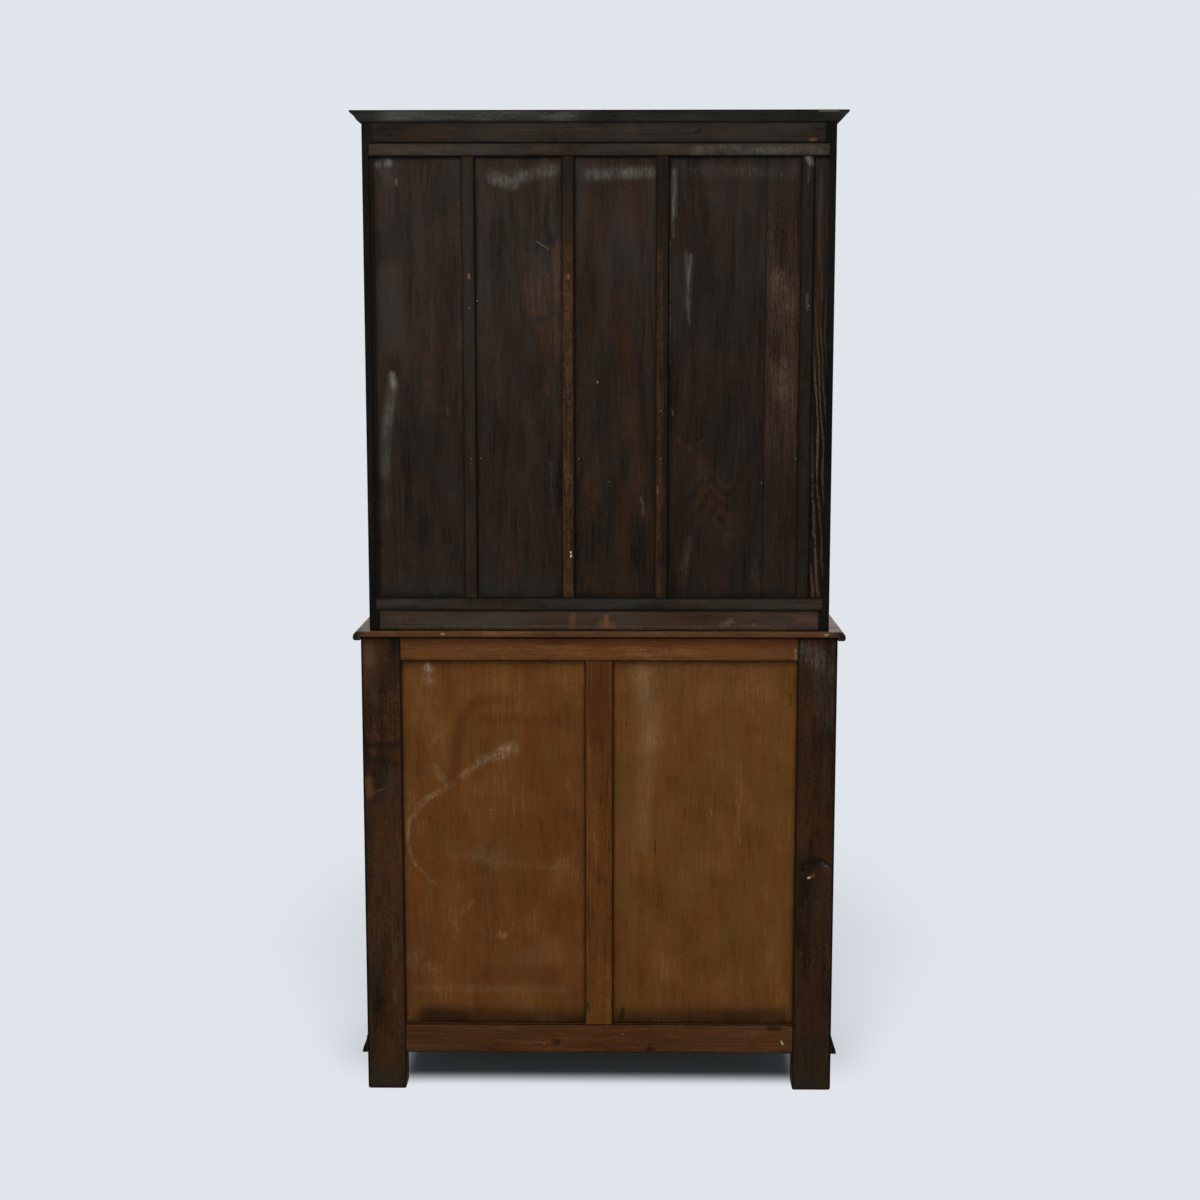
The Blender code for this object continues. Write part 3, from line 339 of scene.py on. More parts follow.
class Stroke(NamedTuple):
    """A mark on a rear face: its tone, width, share, and a run of points as x and z in turn.

    Lengths are in millimetres and shares in hundredths. A brushed mark breaks up, by that share along the
    grain and else in clouds. At 0 it is whole.
    """

    tone: tuple
    width: float
    share: float
    run: tuple
    brushed: float = 0

    def points(self):
        """The run as (x, z) points in metres."""
        places = [value * MM for value in self.run]
        return list(zip(places[::2], places[1::2]))


# Chalk, dust, scuffs, stains and dirt on each node, with some painted shade and highlights, one Stroke a row,
# in the order they lie on each other
STROKES = {}
STROKES["rack_panel_1"] = (
    (CHALK, 12, 34, (410, 1802, 392, 1806), 50),
    (CHALK, 4, 14, (379, 1774, 378, 1766)),
    (CHALK, 30, 1.5, (405, 1790, 408, 1700)),
    (ORANGE, 60, 8, (335, 1500, 330, 1360), 20),
    (CHALK, 34, 3, (395, 1600, 392, 1470)),
    (CHALK, 10, 16, (392, 1412, 389, 1395)),
    (CHALK, 11, 24, (392, 1412, 389, 1390), 50),
    (CHALK, 17, 6, (390, 1395, 396, 1355, 402, 1325)),
    (CHALK, 12, 12, (391, 1390, 397, 1352), 50),
    (CHALK, 13, 9, (397, 1350, 404, 1300), 50),
    (CHALK, 14, 6, (403, 1305, 408, 1225), 50),
    (CHALK, 19, 4, (402, 1325, 409, 1225)),
    (CHALK, 18, 2.5, (407, 1250, 408, 1150)),
    (CHALK, 2, 30, (287, 1350, 287, 1338), 20),
    (KNOT, 9, 60, (420, 1092, 417, 1090)),
    (SLATE, 50, 30, (400, 1000, 290, 1000)),
    (ORANGE, 8, 20, (262, 1730, 262, 1300), 70),
)
STROKES["rack_panel_2"] = (
    (CHALK, 22, 3.5, (200, 1780, 170, 1776, 85, 1792)),
    (CHALK, 16, 4, (178, 1772, 164, 1762)),
    (CHALK, 17, 24, (196, 1776, 160, 1766), 50),
    (CHALK, 15, 20, (152, 1778, 83, 1792), 50),
    (CHALK, 10, 3, (88, 1780, 87, 1680)),
    (DUST, 1.3, 20, (118, 1661, 94, 1646)),
    (SLATE, 22, 35, (215, 1600, 215, 1440)),
    (SLATE, 45, 28, (210, 1000, 100, 1000)),
    (ORANGE, 16, 22, (140, 1640, 126, 1530), 70),
    (ORANGE, 12, 22, (116, 1630, 106, 1530), 70),
    (ORANGE, 18, 26, (90, 1640, 84, 1480), 70),
    (ORANGE, 12, 28, (75, 1660, 74, 1450), 70),
    (ORANGE, 10, 16, (110, 1500, 100, 1380), 70),
    (ORANGE, 6, 20, (90, 1250, 88, 1150), 70),
)
STROKES["rack_panel_3"] = (
    (CHALK, 20, 4, (20, 1784, -60, 1786)),
    (CHALK, 18, 5, (-56, 1786, -98, 1786)),
    (CHALK, 15, 18, (15, 1784, -98, 1787), 50),
    (CHALK, 1.6, 60, (2.9, 1400, 2.6, 1397)),
    (CHALK, 1.4, 50, (-19.1, 1209.5)),
    (CHALK, 6, 12, (-81, 1180, -86, 1150), 60),
    (ORANGE, 30, 8, (30, 1300, 20, 1050), 70),
    (ORANGE, 30, 8, (-60, 1360, -80, 1150), 70),
)
STROKES["rack_panel_4"] = (
    (CHALK, 4.2, 26, (-139.5, 1790, -142.5, 1752, -138.5, 1733, -138.2, 1669), 50),
    (CHALK, 10, 6, (-140, 1790, -140, 1710)),
    (CHALK, 1.8, 26, (-133.5, 1660, -134, 1430), 40),
    (CHALK, 6, 5, (-163, 1640, -166, 1590)),
    (CHALK, 4.2, 13, (-173, 1636, -169, 1600, -166, 1560, -170, 1509), 80),
    (CHALK, 12, 4, (-170, 1630, -167, 1540)),
    (CHALK, 18, 7, (-180, 1790, -362, 1786), 30),
    (CHALK, 3, 22, (-137, 1352, -140, 1338), 20),
    (CHALK, 12, 8, (-172, 1100, -160, 1020), 60),
    (CHALK, 6, 8, (-300, 1060, -295, 1030), 30),
    (ORANGE, 8, 16, (-150, 1290, -175, 1271, -198, 1288), 30),
    (ORANGE, 10, 14, (-208, 1745, -216, 1738), 20),
    (ORANGE, 50, 8, (-190, 1240, -240, 1120), 20),
    (SLATE, 40, 35, (-290, 1640, -290, 1580), 20),
    (SLATE, 40, 35, (-295, 1100, -295, 1020), 20),
    (DUST, 30, 11, (-338, 1590, -350, 1545), 40),
    (DUST, 32, 12, (-342, 1428, -350, 1380), 40),
)
STROKES["rack_muntin_1"] = (
    (SLATE, 14, 50, (247, 1800, 246, 1480)),
    (ORANGE, 3.5, 100, (243.8, 1599, 243.8, 1593)),
)
STROKES["rack_muntin_2"] = (
    (ORANGE, 3, 100, (57, 1598, 57, 1592)),
    (ORANGE, 18, 44, (60, 1640, 60, 1000), 50),
    (FLECK, 2.4, 100, (54, 1076, 53.5, 1074)),
    (FLECK, 2.6, 100, (53, 1069, 54, 1067)),
)
STROKES["rack_muntin_3"] = (
    (CHALK, 2, 35, (-111.6, 1203, -112, 1188), 20),
    (ORANGE, 10, 26, (-114, 1640, -114, 1000), 50),
)
STROKES["rack_muntin_4"] = (
    (SLATE, 16, 50, (-389, 1790, -389, 1000), 10),
    (CHALK, 9, 40, (-389, 1812, -395, 1804), 10),
    (CHALK, 4, 12, (-390, 1800, -390, 1770), 30),
    (CHALK, 5, 8, (-391, 1562, -391, 1535)),
)
STROKES["cornice_board"] = (
    (SHADE_AND_GRIME, 50, 50, (15, 1890, -460, 1890)),
    (SHADE_AND_GRIME, 45, 60, (450, 1890, 425, 1890)),
    (DUST, 3.5, 36, (-409, 1898.5, -443, 1898.5)),
    (KNOT, 2.5, 80, (-369, 1892, -370, 1892)),
)
STROKES["rack_rear_top_rail"] = (
    (ORANGE, 5, 90, (-392, 1845, -401, 1846), 10),
    (KNOT, 5, 60, (81.5, 1845, 80, 1850)),
    (KNOT, 6, 50, (-187, 1863, -180, 1858)),
)
STROKES["back_frame_top_rail"] = (
    (KNOT, 2.2, 80, (-404, 1831, -411, 1831)),
    (CHALK, 16, 16, (-180, 1825, -410, 1825), 40),
)
STROKES["rack_rear_bottom_rail"] = (
    (DUST, 4, 12, (420, 931, -420, 931), 40),
    (ORANGE, 30, 7, (400, 944, -400, 944)),
    (ORANGE, 10, 26, (50, 955, 52, 932)),
    (ORANGE, 8, 50, (-14.2, 952, -14.2, 932)),
    (ORANGE, 12, 30, (-6, 936, -27, 935)),
    (ORANGE, 6, 35, (-296, 936, -299, 935)),
    (ORANGE, 14, 18, (-385, 945, -418, 942)),
    (CHALK, 9, 22, (-236, 934, -254, 944), 50),
)
STROKES["back_panel_right"] = (
    (CHALK, 11, 85, (331, 852, 326, 844), 20),
    (DUST, 20, 30, (330, 845, 328, 825), 40),
    (DUST, 40, 6, (330, 820, 330, 760), 20),
    (DUST, 22, 34, (168, 690, 185, 682), 10),
    (DUST, 17, 26, (180, 685, 232, 664), 10),
    (DUST, 10, 22, (232, 664, 290, 618, 340, 588, 372, 543), 10),
    (DUST, 6, 28, (372, 543, 376, 507, 367, 467, 324, 418), 10),
    (DUST, 14, 24, (322, 652, 304, 630), 20),
    (DUST, 10, 16, (318, 716, 330, 698), 20),
    (DUST, 8, 8, (300, 480, 180, 462, 73, 448), 10),
    (DUST, 40, 10, (230, 475, 200, 470), 20),
    (DUST, 20, 18, (80, 456, 70, 450), 20),
    (DUST, 10, 20, (250, 382, 276, 356), 20),
    (DUST, 10, 14, (284, 340, 278, 324), 20),
    (DUST, 12, 45, (193, 316, 190, 316), 10),
    (DUST, 6, 14, (168, 340, 174, 326), 10),
    (DUST, 30, 10, (366, 270, 330, 240), 30),
    (DUST, 12, 3.5, (359, 206, 73, 204)),
    (STAIN, 30, 20, (215, 232, 90, 232)),
    (DUST, 35, 4, (135, 270, 90, 282)),
    (STAIN, 20, 46, (282, 630, 276, 697, 266, 747, 246, 776)),
    (STAIN, 18, 34, (240, 782, 211, 788, 173, 785)),
    (STAIN, 18, 26, (220, 752, 150, 748, 80, 742)),
    (STAIN, 60, 12, (215, 760, 190, 740)),
    (SHADE_AND_GRIME, 34, 56, (345, 148, 30, 143)),
    (SHADE_AND_GRIME, 22, 34, (340, 152, 270, 148)),
)
STROKES["back_panel_left"] = (
    (DUST, 34, 6, (-80, 842, -94, 705)),
    (DUST, 30, 14, (-86, 842, -106, 705), 50),
    (DUST, 28, 4, (-94, 700, -82, 500)),
    (DUST, 22, 8, (-102, 690, -88, 520), 50),
    (DUST, 12, 10, (-272, 657, -274, 505), 60),
    (DUST, 60, 5, (-120, 830, -300, 820), 20),
    (FLECK, 1.3, 20, (-217, 570, -220.6, 559)),
    (FLECK, 1.4, 50, (-273, 575)),
    (KNOT, 1.8, 70, (-109.6, 507, -110, 480)),
    (KNOT, 2.5, 70, (-52.4, 740, -52.4, 735)),
    (KNOT, 2.2, 60, (-371.4, 798, -371, 775)),
    (KNOT, 6.5, 65, (-47, 164, -44, 147)),
    (SHADE_AND_GRIME, 34, 54, (-40, 144, -360, 148)),
    (SHADE_AND_GRIME, 20, 30, (-250, 150, -355, 154)),
)
STROKES["back_muntin"] = (
    (STAIN, 34, 66, (0, 860, 0, 720)),
    (STAIN, 24, 25, (0, 700, 0, 600)),
    (KNOT, 5, 50, (23, 180, 20, 168)),
)
STROKES["back_top_rail"] = (
    # Painted shadow under the top's overhang: a broad darker band, then a dark line
    (STAIN, 20, 42, (380, 904, -380, 904)),
    (SHADE_AND_GRIME, 6, 85, (400, 911.5, -400, 911.5)),
    # Painted highlight at the rail's -x end
    (CHALK, 4.2, 30, (-378, 888, -378.5, 866), 30),
)
STROKES["back_bottom_rail"] = (
    (KNOT, 10, 75, (87, 99, 82, 99)),
    (KNOT, 8, 70, (-98, 85, -106, 85)),
    (KNOT, 9, 60, (-338, 128, -356, 128)),
    # Pale line on the top edge: dust, with a painted highlight where the top face catches light
    (DUST, 1.4, 40, (-60, 133.5, -375, 133.5), 50),
    (FLECK, 2.6, 70, (-361, 102, -364, 96)),
    (FLECK, 1.8, 50, (109, 96.6)),
    (FLECK, 1.6, 50, (-47.6, 115.9)),
)
STROKES["rear_post_left"] = (
    (CHALK, 30, 17, (-392, 888, -420, 868), 50),
    (CHALK, 36, 6, (-420, 880, -448, 850), 50),
    (CHALK, 30, 5, (-425, 830, -445, 740), 50),
    (KNOT, 4.5, 85, (-397, 461.6, -407, 471.7, -417, 476.7, -432, 474.3)),
    (KNOT, 5.5, 85, (-432, 474.3, -445, 465.1, -458, 454)),
    (KNOT, 11, 55, (-415, 465, -438, 463)),
    (SHADE_AND_GRIME, 6, 100, (-397.5, 453.2, -401, 453.2)),
    (CHALK, 10, 12, (-436, 463, -450, 453), 50),
    (CHALK, 1.6, 35, (-442.5, 460.5, -444, 459.5)),
    (ORANGE, 6, 35, (-410, 436, -419, 440.5)),
    (FLECK, 2.4, 90, (-409, 435.2, -412.5, 436.6)),
    (OLIVE, 120, 55, (-421, -20, -421, 20)),
    (SLATE, 30, 35, (-400, 20, -430, 14)),
    # Painted shade down the post's outer edge, and painted shadow under the top
    (SHADE_AND_GRIME, 5, 85, (-458.5, 900, -458.5, 10)),
    (SHADE_AND_GRIME, 7, 90, (-383, 911.5, -459, 911.5)),
)
STROKES["rear_post_right"] = (
    (CHALK, 18, 5, (444, 890, 442, 862)),
    (CHALK, 22, 2, (442, 870, 438, 790)),
    (ORANGE, 14, 34, (449, 628, 446, 600)),
    (ORANGE, 40, 12, (425, 560, 425, 400), 30),
    (CHALK, 3, 20, (438.7, 603.7, 417.1, 613.2), 30),
    (KNOT, 12, 50, (450, 697, 386, 700)),
    (KNOT, 14, 45, (449, 672, 395, 662)),
    (CHALK, 8, 4, (402, 300, 400, 270)),
    (CHALK, 8, 4, (404, 200, 402, 180)),
    (OLIVE, 120, 55, (421, -20, 421, 20)),
    (SLATE, 30, 35, (440, 24, 415, 16)),
    # Painted shade down the post's outer edge, and painted shadow under the top
    (SHADE_AND_GRIME, 5, 85, (458.5, 900, 458.5, 10)),
    (SHADE_AND_GRIME, 7, 90, (383, 911.5, 459, 911.5)),
)
STROKES["base_moulding"] = (
    (SHADE_AND_GRIME, 60, 95, (470, 90)),
    (SHADE_AND_GRIME, 60, 95, (-470, 90)),
)
STROKES["base_top"] = (
    # Painted shade on the lower curve of the rear edge
    (STAIN, 4.2, 60, (460, 914, -460, 914)),
    # Darker ends: painted shade with grime
    (SHADE_AND_GRIME, 14, 80, (472, 912)),
    (SHADE_AND_GRIME, 14, 80, (-472, 912)),
    (SHADE_AND_GRIME, 16, 45, (-442, 918, -470, 918)),
    (FLECK, 3.8, 70, (-435, 917, -438, 918), 10),
    (FLECK, 3, 60, (303, 918, 297, 918), 10),
)


def srgb(colour):
    """A colour written as display values, in linear light."""
    channels = []
    for value in colour:
        level = value / 255
        channels.append(level / 12.92 if level <= 0.04045 else ((level + 0.055) / 1.055) ** 2.4)
    return (*channels, 1.0)


class Graph:
    """Adds nodes to one tree. An input is a plain value or another node's output."""

    def __init__(self, tree):
        self.tree = tree
        self.here = None
        tree.nodes.clear()

    def add(self, kind, inputs=None, **settings):
        node = self.tree.nodes.new(kind)
        for name, value in settings.items():
            setattr(node, name, value)
        for key, value in (inputs or {}).items():
            self.put(node.inputs[key], value)
        return node

    def put(self, socket, value):
        if isinstance(value, bpy.types.NodeSocket):
            self.tree.links.new(value, socket)
        else:
            socket.default_value = value

    def math(self, operation, first, second=0.0, third=0.0):
        return self.add("ShaderNodeMath", {0: first, 1: second, 2: third}, operation=operation).outputs[0]

    def times(self, first, second):
        return self.math("MULTIPLY", first, second)

    def most(self, first, second):
        return self.math("MAXIMUM", first, second)

    def less(self, first, second):
        return self.math("SUBTRACT", first, second)

    def size(self, value):
        return self.math("ABSOLUTE", value)

    def line(self, value, slope, start):
        """A straight line: start where the value is 0, rising by the slope."""
        return self.math("MULTIPLY_ADD", value, slope, start)

    def vector(self, operation, first, second=(0.0, 0.0, 0.0), output=0):
        return self.add("ShaderNodeVectorMath", {0: first, 1: second}, operation=operation).outputs[output]

    def scaled(self, vector, factor):
        return self.add("ShaderNodeVectorMath", {0: vector, 3: factor}, operation="SCALE").outputs[0]

    def length(self, across, up):
        """The length of a run across and up."""
        return self.vector("LENGTH", self.join(across, up, 0.0), output=1)

    def ramp(self, value, start, end):
        """0 at start and 1 at end, with a soft run between."""
        inputs = {"Value": value, "From Min": start, "From Max": end}
        return self.add("ShaderNodeMapRange", inputs, interpolation_type="SMOOTHSTEP").outputs["Result"]

    def raised(self, value, least):
        """The value, with its run from 0 to 1 raised so that it starts at least."""
        return self.line(value, 1 - least, least)

    def mix(self, share, first, second):
        """From the first colour to the second."""
        return self.add("ShaderNodeMix", {0: share, 6: first, 7: second}, data_type="RGBA").outputs[2]

    def mix_value(self, share, first, second):
        """From the first number to the second."""
        return self.add("ShaderNodeMix", {0: share, 2: first, 3: second}, data_type="FLOAT").outputs[0]

    def paint(self, under, mask, share, tone):
        """A tone over a colour, by a share of a mask."""
        return self.mix(self.times(mask, share), under, srgb(tone))

    def noise(self, shape, place=None):
        """Noise of a shape at a place, spread from 0 to 1."""
        across, along, detail, start, end = shape
        if place is None:
            place = self.place()
        scaled = self.vector("MULTIPLY", place, (across, across, along))
        inputs = {"Vector": scaled, "Scale": 1.0, "Detail": detail, "Roughness": 0.6}
        return self.ramp(self.add("ShaderNodeTexNoise", inputs).outputs["Fac"], start, end)

    def place(self):
        """The place on the object, in the row's frame."""
        if self.here is None:
            self.here = self.add("ShaderNodeTexCoord").outputs["Object"]
        return self.here

    def axes(self):
        """The place as x, y and z."""
        return self.split(self.place())

    def split(self, vector):
        return self.add("ShaderNodeSeparateXYZ", {0: vector}).outputs

    def join(self, first, second, third):
        return self.add("ShaderNodeCombineXYZ", {0: first, 1: second, 2: third}).outputs[0]

    def group(self, tree, inputs):
        return self.add("ShaderNodeGroup", inputs, node_tree=tree).outputs


def new_group(name, inputs, outputs):
    """An empty node group, its graph, its given inputs and its result node."""
    tree = bpy.data.node_groups.new(name, "ShaderNodeTree")
    for label, kind in inputs.items():
        tree.interface.new_socket(label, in_out="INPUT", socket_type=f"NodeSocket{kind}")
    for label in outputs:
        tree.interface.new_socket(label, in_out="OUTPUT", socket_type="NodeSocketFloat")
    graph = Graph(tree)
    return tree, graph, graph.add("NodeGroupInput").outputs, graph.add("NodeGroupOutput").inputs


def figure_group():
    """The figure of one board, from a place in it whose third axis runs along the grain.

    The rings run round a pith line beside the board. It leans a little, so a flat face cuts them as arches.
    """
    inputs = {"Place": "Vector", "Seed": "Float", "Pith": "Vector", "Lean": "Vector", "Gap": "Float",
              "Curl": "Float"}
    tree, graph, given, result = new_group("wood_figure", inputs, ("Rings", *FIGURE_NOISE))
    place = graph.vector("ADD", given["Place"], graph.scaled(SEED_STEP, given["Seed"]))
    along = graph.split(given["Place"])[2]
    pith = graph.vector("ADD", given["Pith"], graph.scaled(given["Lean"], along))
    spoke = graph.vector("MULTIPLY", graph.vector("SUBTRACT", given["Place"], pith), (1.0, 1.0, 0.0))
    radius = graph.vector("LENGTH", spoke, output=1)
    bends = ((RING_WANDER, WANDER_REACH), (RING_RIPPLE, RIPPLE_REACH), (RING_WAVE, given["Curl"]))
    for shape, reach in bends:
        radius = graph.line(graph.noise(shape, place), reach, radius)
    turn = graph.math("FRACT", graph.math("DIVIDE", radius, given["Gap"]))
    late = graph.times(graph.ramp(turn, *RING_DARKENS), graph.ramp(turn, *RING_ENDS))
    graph.put(result["Rings"], graph.less(1.0, late))
    for number, (name, shape) in enumerate(FIGURE_NOISE.items()):
        shifted = graph.vector("ADD", place, tuple(number * part for part in TEXTURE_STEP))
        graph.put(result[name], graph.noise(shape, shifted))
    return tree


def stroke_group():
    """How far inside a straight stroke of round ends a place lies: 1 along its middle and 0 outside it."""
    inputs = {"Place": "Vector", "Middle": "Vector", "Turn": "Vector", "Half": "Float", "Width": "Float"}
    tree, graph, given, result = new_group("stroke", inputs, ("Mask",))
    turned = {"Vector": given["Place"], "Location": given["Middle"], "Rotation": given["Turn"]}
    local = graph.split(graph.add("ShaderNodeMapping", turned, vector_type="TEXTURE").outputs[0])
    past = graph.most(graph.less(graph.size(local[0]), given["Half"]), 0.0)
    distance = graph.length(past, local[2])
    core = graph.times(given["Width"], STROKE_CORE)
    graph.put(result["Mask"], graph.ramp(distance, given["Width"], core))
    return tree


FIGURE = figure_group()
STROKE = stroke_group()


class Skin(NamedTuple):
    """What a shader needs from one kind of wood: colour, roughness, height and brush marks."""

    colour: object
    rough: object
    height: object
    brush: object


def seeded(seed, low, high, turn):
    """A number between low and high that follows from the seed alone."""
    return low + (high - low) * ((seed * turn) % 1.0)


def wood_skin(graph, wood, axis, node, seed):
    """The figure of one board of this wood in a node, with its grain along the axis."""
    low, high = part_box(node)
    gain = GAINS.get(node, 1.0)

    def tint(colour):
        return tuple(channel * gain for channel in srgb(colour)[:3]) + (1.0,)

    local = graph.split(graph.vector("SUBTRACT", graph.place(), tuple((low + high) / 2)))
    order = {"X": (2, 1, 0), "Y": (0, 2, 1), "Z": (0, 1, 2)}[axis]
    across, through, along = (local[index] for index in order)
    beside = wood.pith or (seeded(seed, *PITH_ACROSS), seeded(seed, *PITH_BEHIND))
    figure = graph.group(FIGURE, {
        "Place": graph.join(across, through, graph.times(along, wood.stretch)),
        "Seed": float(seed),
        "Pith": (*beside, 0.0),
        "Lean": (seeded(seed, *LEAN_ACROSS), seeded(seed, *LEAN_BEHIND), 0.0),
        "Gap": wood.gap,
        "Curl": wood.curl,
    })
    parts = {name: getattr(wood, name.lower()) for name in TONE_PARTS}
    tone = TONE_MIDDLE - sum(parts.values()) / 2
    for name, strength in parts.items():
        tone = graph.line(figure[name], strength, tone)
    if wood.fall:
        tone = graph.line(graph.ramp(graph.axes()[2], *FALL_SPAN), -wood.fall, tone)
    colour = graph.mix(graph.ramp(tone, 0.0, TONE_MIDDLE), tint(wood.dark), tint(wood.mid))
    colour = graph.mix(graph.ramp(tone, TONE_MIDDLE, 1.0), colour, tint(wood.light))
    for name, hue, share in (("Warm", wood.warm, wood.warm_share), ("Cool", wood.cool, wood.cool_share)):
        if share:
            colour = graph.mix(graph.times(figure[name], share), colour, tint(hue))
    colour = graph.mix(graph.times(figure["Pores"], wood.pores), colour, tint(wood.dark))
    film = graph.times(figure["Film"], wood.film_share)
    if wood.film_rise:
        film = graph.times(film, graph.raised(graph.ramp(graph.axes()[2], *wood.film_rise), FILM_LEAST))
    colour = graph.mix(film, colour, tint(wood.film))
    rough = graph.line(figure["Streaks"], -STREAK_POLISH, wood.rough + ROUGH_LIFT)
    rough = graph.line(figure["Film"], FILM_DULLNESS, rough)
    height = graph.line(figure["Rings"], wood.rings, figure["Fibre"])
    height = graph.line(figure["Pores"], -wood.pores, height)
    return Skin(colour, rough, height, figure["Brush"])


def mix_skins(graph, share, first, second):
    """The first skin where share is 0 and the second where it is 1."""
    numbers = (graph.mix_value(share, *pair) for pair in zip(first[1:], second[1:]))
    return Skin(graph.mix(share, first.colour, second.colour), *numbers)


def stroke_mask(graph, points, width):
    """A mask along a run of points on a rear face."""
    mask = None
    ends = list(zip(points, points[1:])) or [(points[0], points[0])]
    for start, end in ends:
        run = Vector((end[0] - start[0], 0.0, end[1] - start[1]))
        part = graph.group(STROKE, {
            "Place": graph.place(),
            "Middle": ((start[0] + end[0]) / 2, 0.0, (start[1] + end[1]) / 2),
            "Turn": (0.0, math.atan2(-run.z, run.x), 0.0),
            "Half": run.length / 2,
            "Width": width,
        })["Mask"]
        mask = part if mask is None else graph.most(mask, part)
    return mask


def edge_mask(graph, radius):
    """1 along the corners of the piece, 0 on its flat faces."""
    bevel = graph.add("ShaderNodeBevel", {"Radius": radius}, samples=EDGE_SAMPLES).outputs[0]
    normal = graph.add("ShaderNodeNewGeometry").outputs["Normal"]
    return graph.ramp(graph.vector("DOT_PRODUCT", bevel, normal, output=1), *EDGE_SPAN)


def border_shade_and_grime(graph, face, reach, sides):
    """Painted shade and grime along the border of a face (x0, x1, z0, z1): 1 there, falling to 0 over the
    reach, or twice the reach below.

    The sides are the shares of it that x0 and x1 have, uneven because the shade lies on the side turned from
    the light.
    """
    x0, x1, z0, z1 = face
    place = graph.axes()
    patchy = graph.noise(BORDER_PATCHES)
    borders = (
        (graph.less(place[0], x0), sides[0], reach),
        (graph.less(x1, place[0]), sides[1], reach),
        (graph.less(place[2], z0), 1.0, 2 * reach),
        (graph.less(z1, place[2]), 1.0, reach),
    )
    shade_and_grime = 0.0
    for away, share, width in borders:
        wide = graph.times(graph.ramp(away, width, 0.0), patchy)
        line = graph.ramp(away, JOINT_REACH, JOINT_CORE)
        shade_and_grime = graph.most(graph.times(graph.most(wide, line), share), shade_and_grime)
    return shade_and_grime


def around(graph, x, z, half_x, half_z):
    """How far a place lies from a middle, across and up, in shares of the half width and half height."""
    place = graph.axes()
    across = graph.math("DIVIDE", graph.less(place[0], x), half_x)
    return across, graph.math("DIVIDE", graph.less(place[2], z), half_z)


def knot_mask(graph, knot):
    """A knot: a dark heart and a broken arch over it."""
    across, up = around(graph, *knot)
    wobble = graph.noise(KNOT_WOBBLE)
    reach = graph.line(wobble, KNOT_BEND, graph.length(across, up))
    heart = graph.times(graph.ramp(reach, *KNOT_HEART), KNOT_HEART_SHARE)
    ring = graph.times(graph.ramp(reach, *KNOT_RING_INNER), graph.ramp(reach, *KNOT_RING_OUTER))
    ring = graph.times(ring, graph.ramp(up, *KNOT_RING_FOOT))
    return graph.times(graph.most(heart, ring), graph.noise(KNOT_BREAKS))


def arch_mask(graph, arches):
    """Soft arches of figure, one inside the next, fading out round their middle."""
    *middle, rise, gap = arches
    across, up = around(graph, *middle)
    level = graph.line(graph.size(across), rise, graph.axes()[2])
    level = graph.line(graph.noise(ARCH_WOBBLE), rise, level)
    turn = graph.math("FRACT", graph.math("DIVIDE", level, gap))
    line = graph.times(graph.ramp(turn, *ARCH_LINE_RISE), graph.ramp(turn, *ARCH_LINE_FALL))
    inside = graph.ramp(graph.length(across, up), *ARCH_FADE)
    return graph.times(graph.times(line, inside), graph.noise(ARCH_PATCHES))


def speck_mask(graph, spacing, radius):
    """Scattered round specks."""
    inputs = {"Vector": graph.place(), "Scale": 1 / spacing}
    cells = graph.add("ShaderNodeTexVoronoi", inputs).outputs
    dot = graph.ramp(cells["Distance"], radius / spacing, SPECK_CORE * radius / spacing)
    return graph.times(dot, graph.math("GREATER_THAN", graph.split(cells["Color"])[0], SPECK_EMPTY))


def new_material(name):
    """An empty material and its graph."""
    material = bpy.data.materials.new(name)
    material.use_nodes = True
    return material, Graph(material.node_tree)


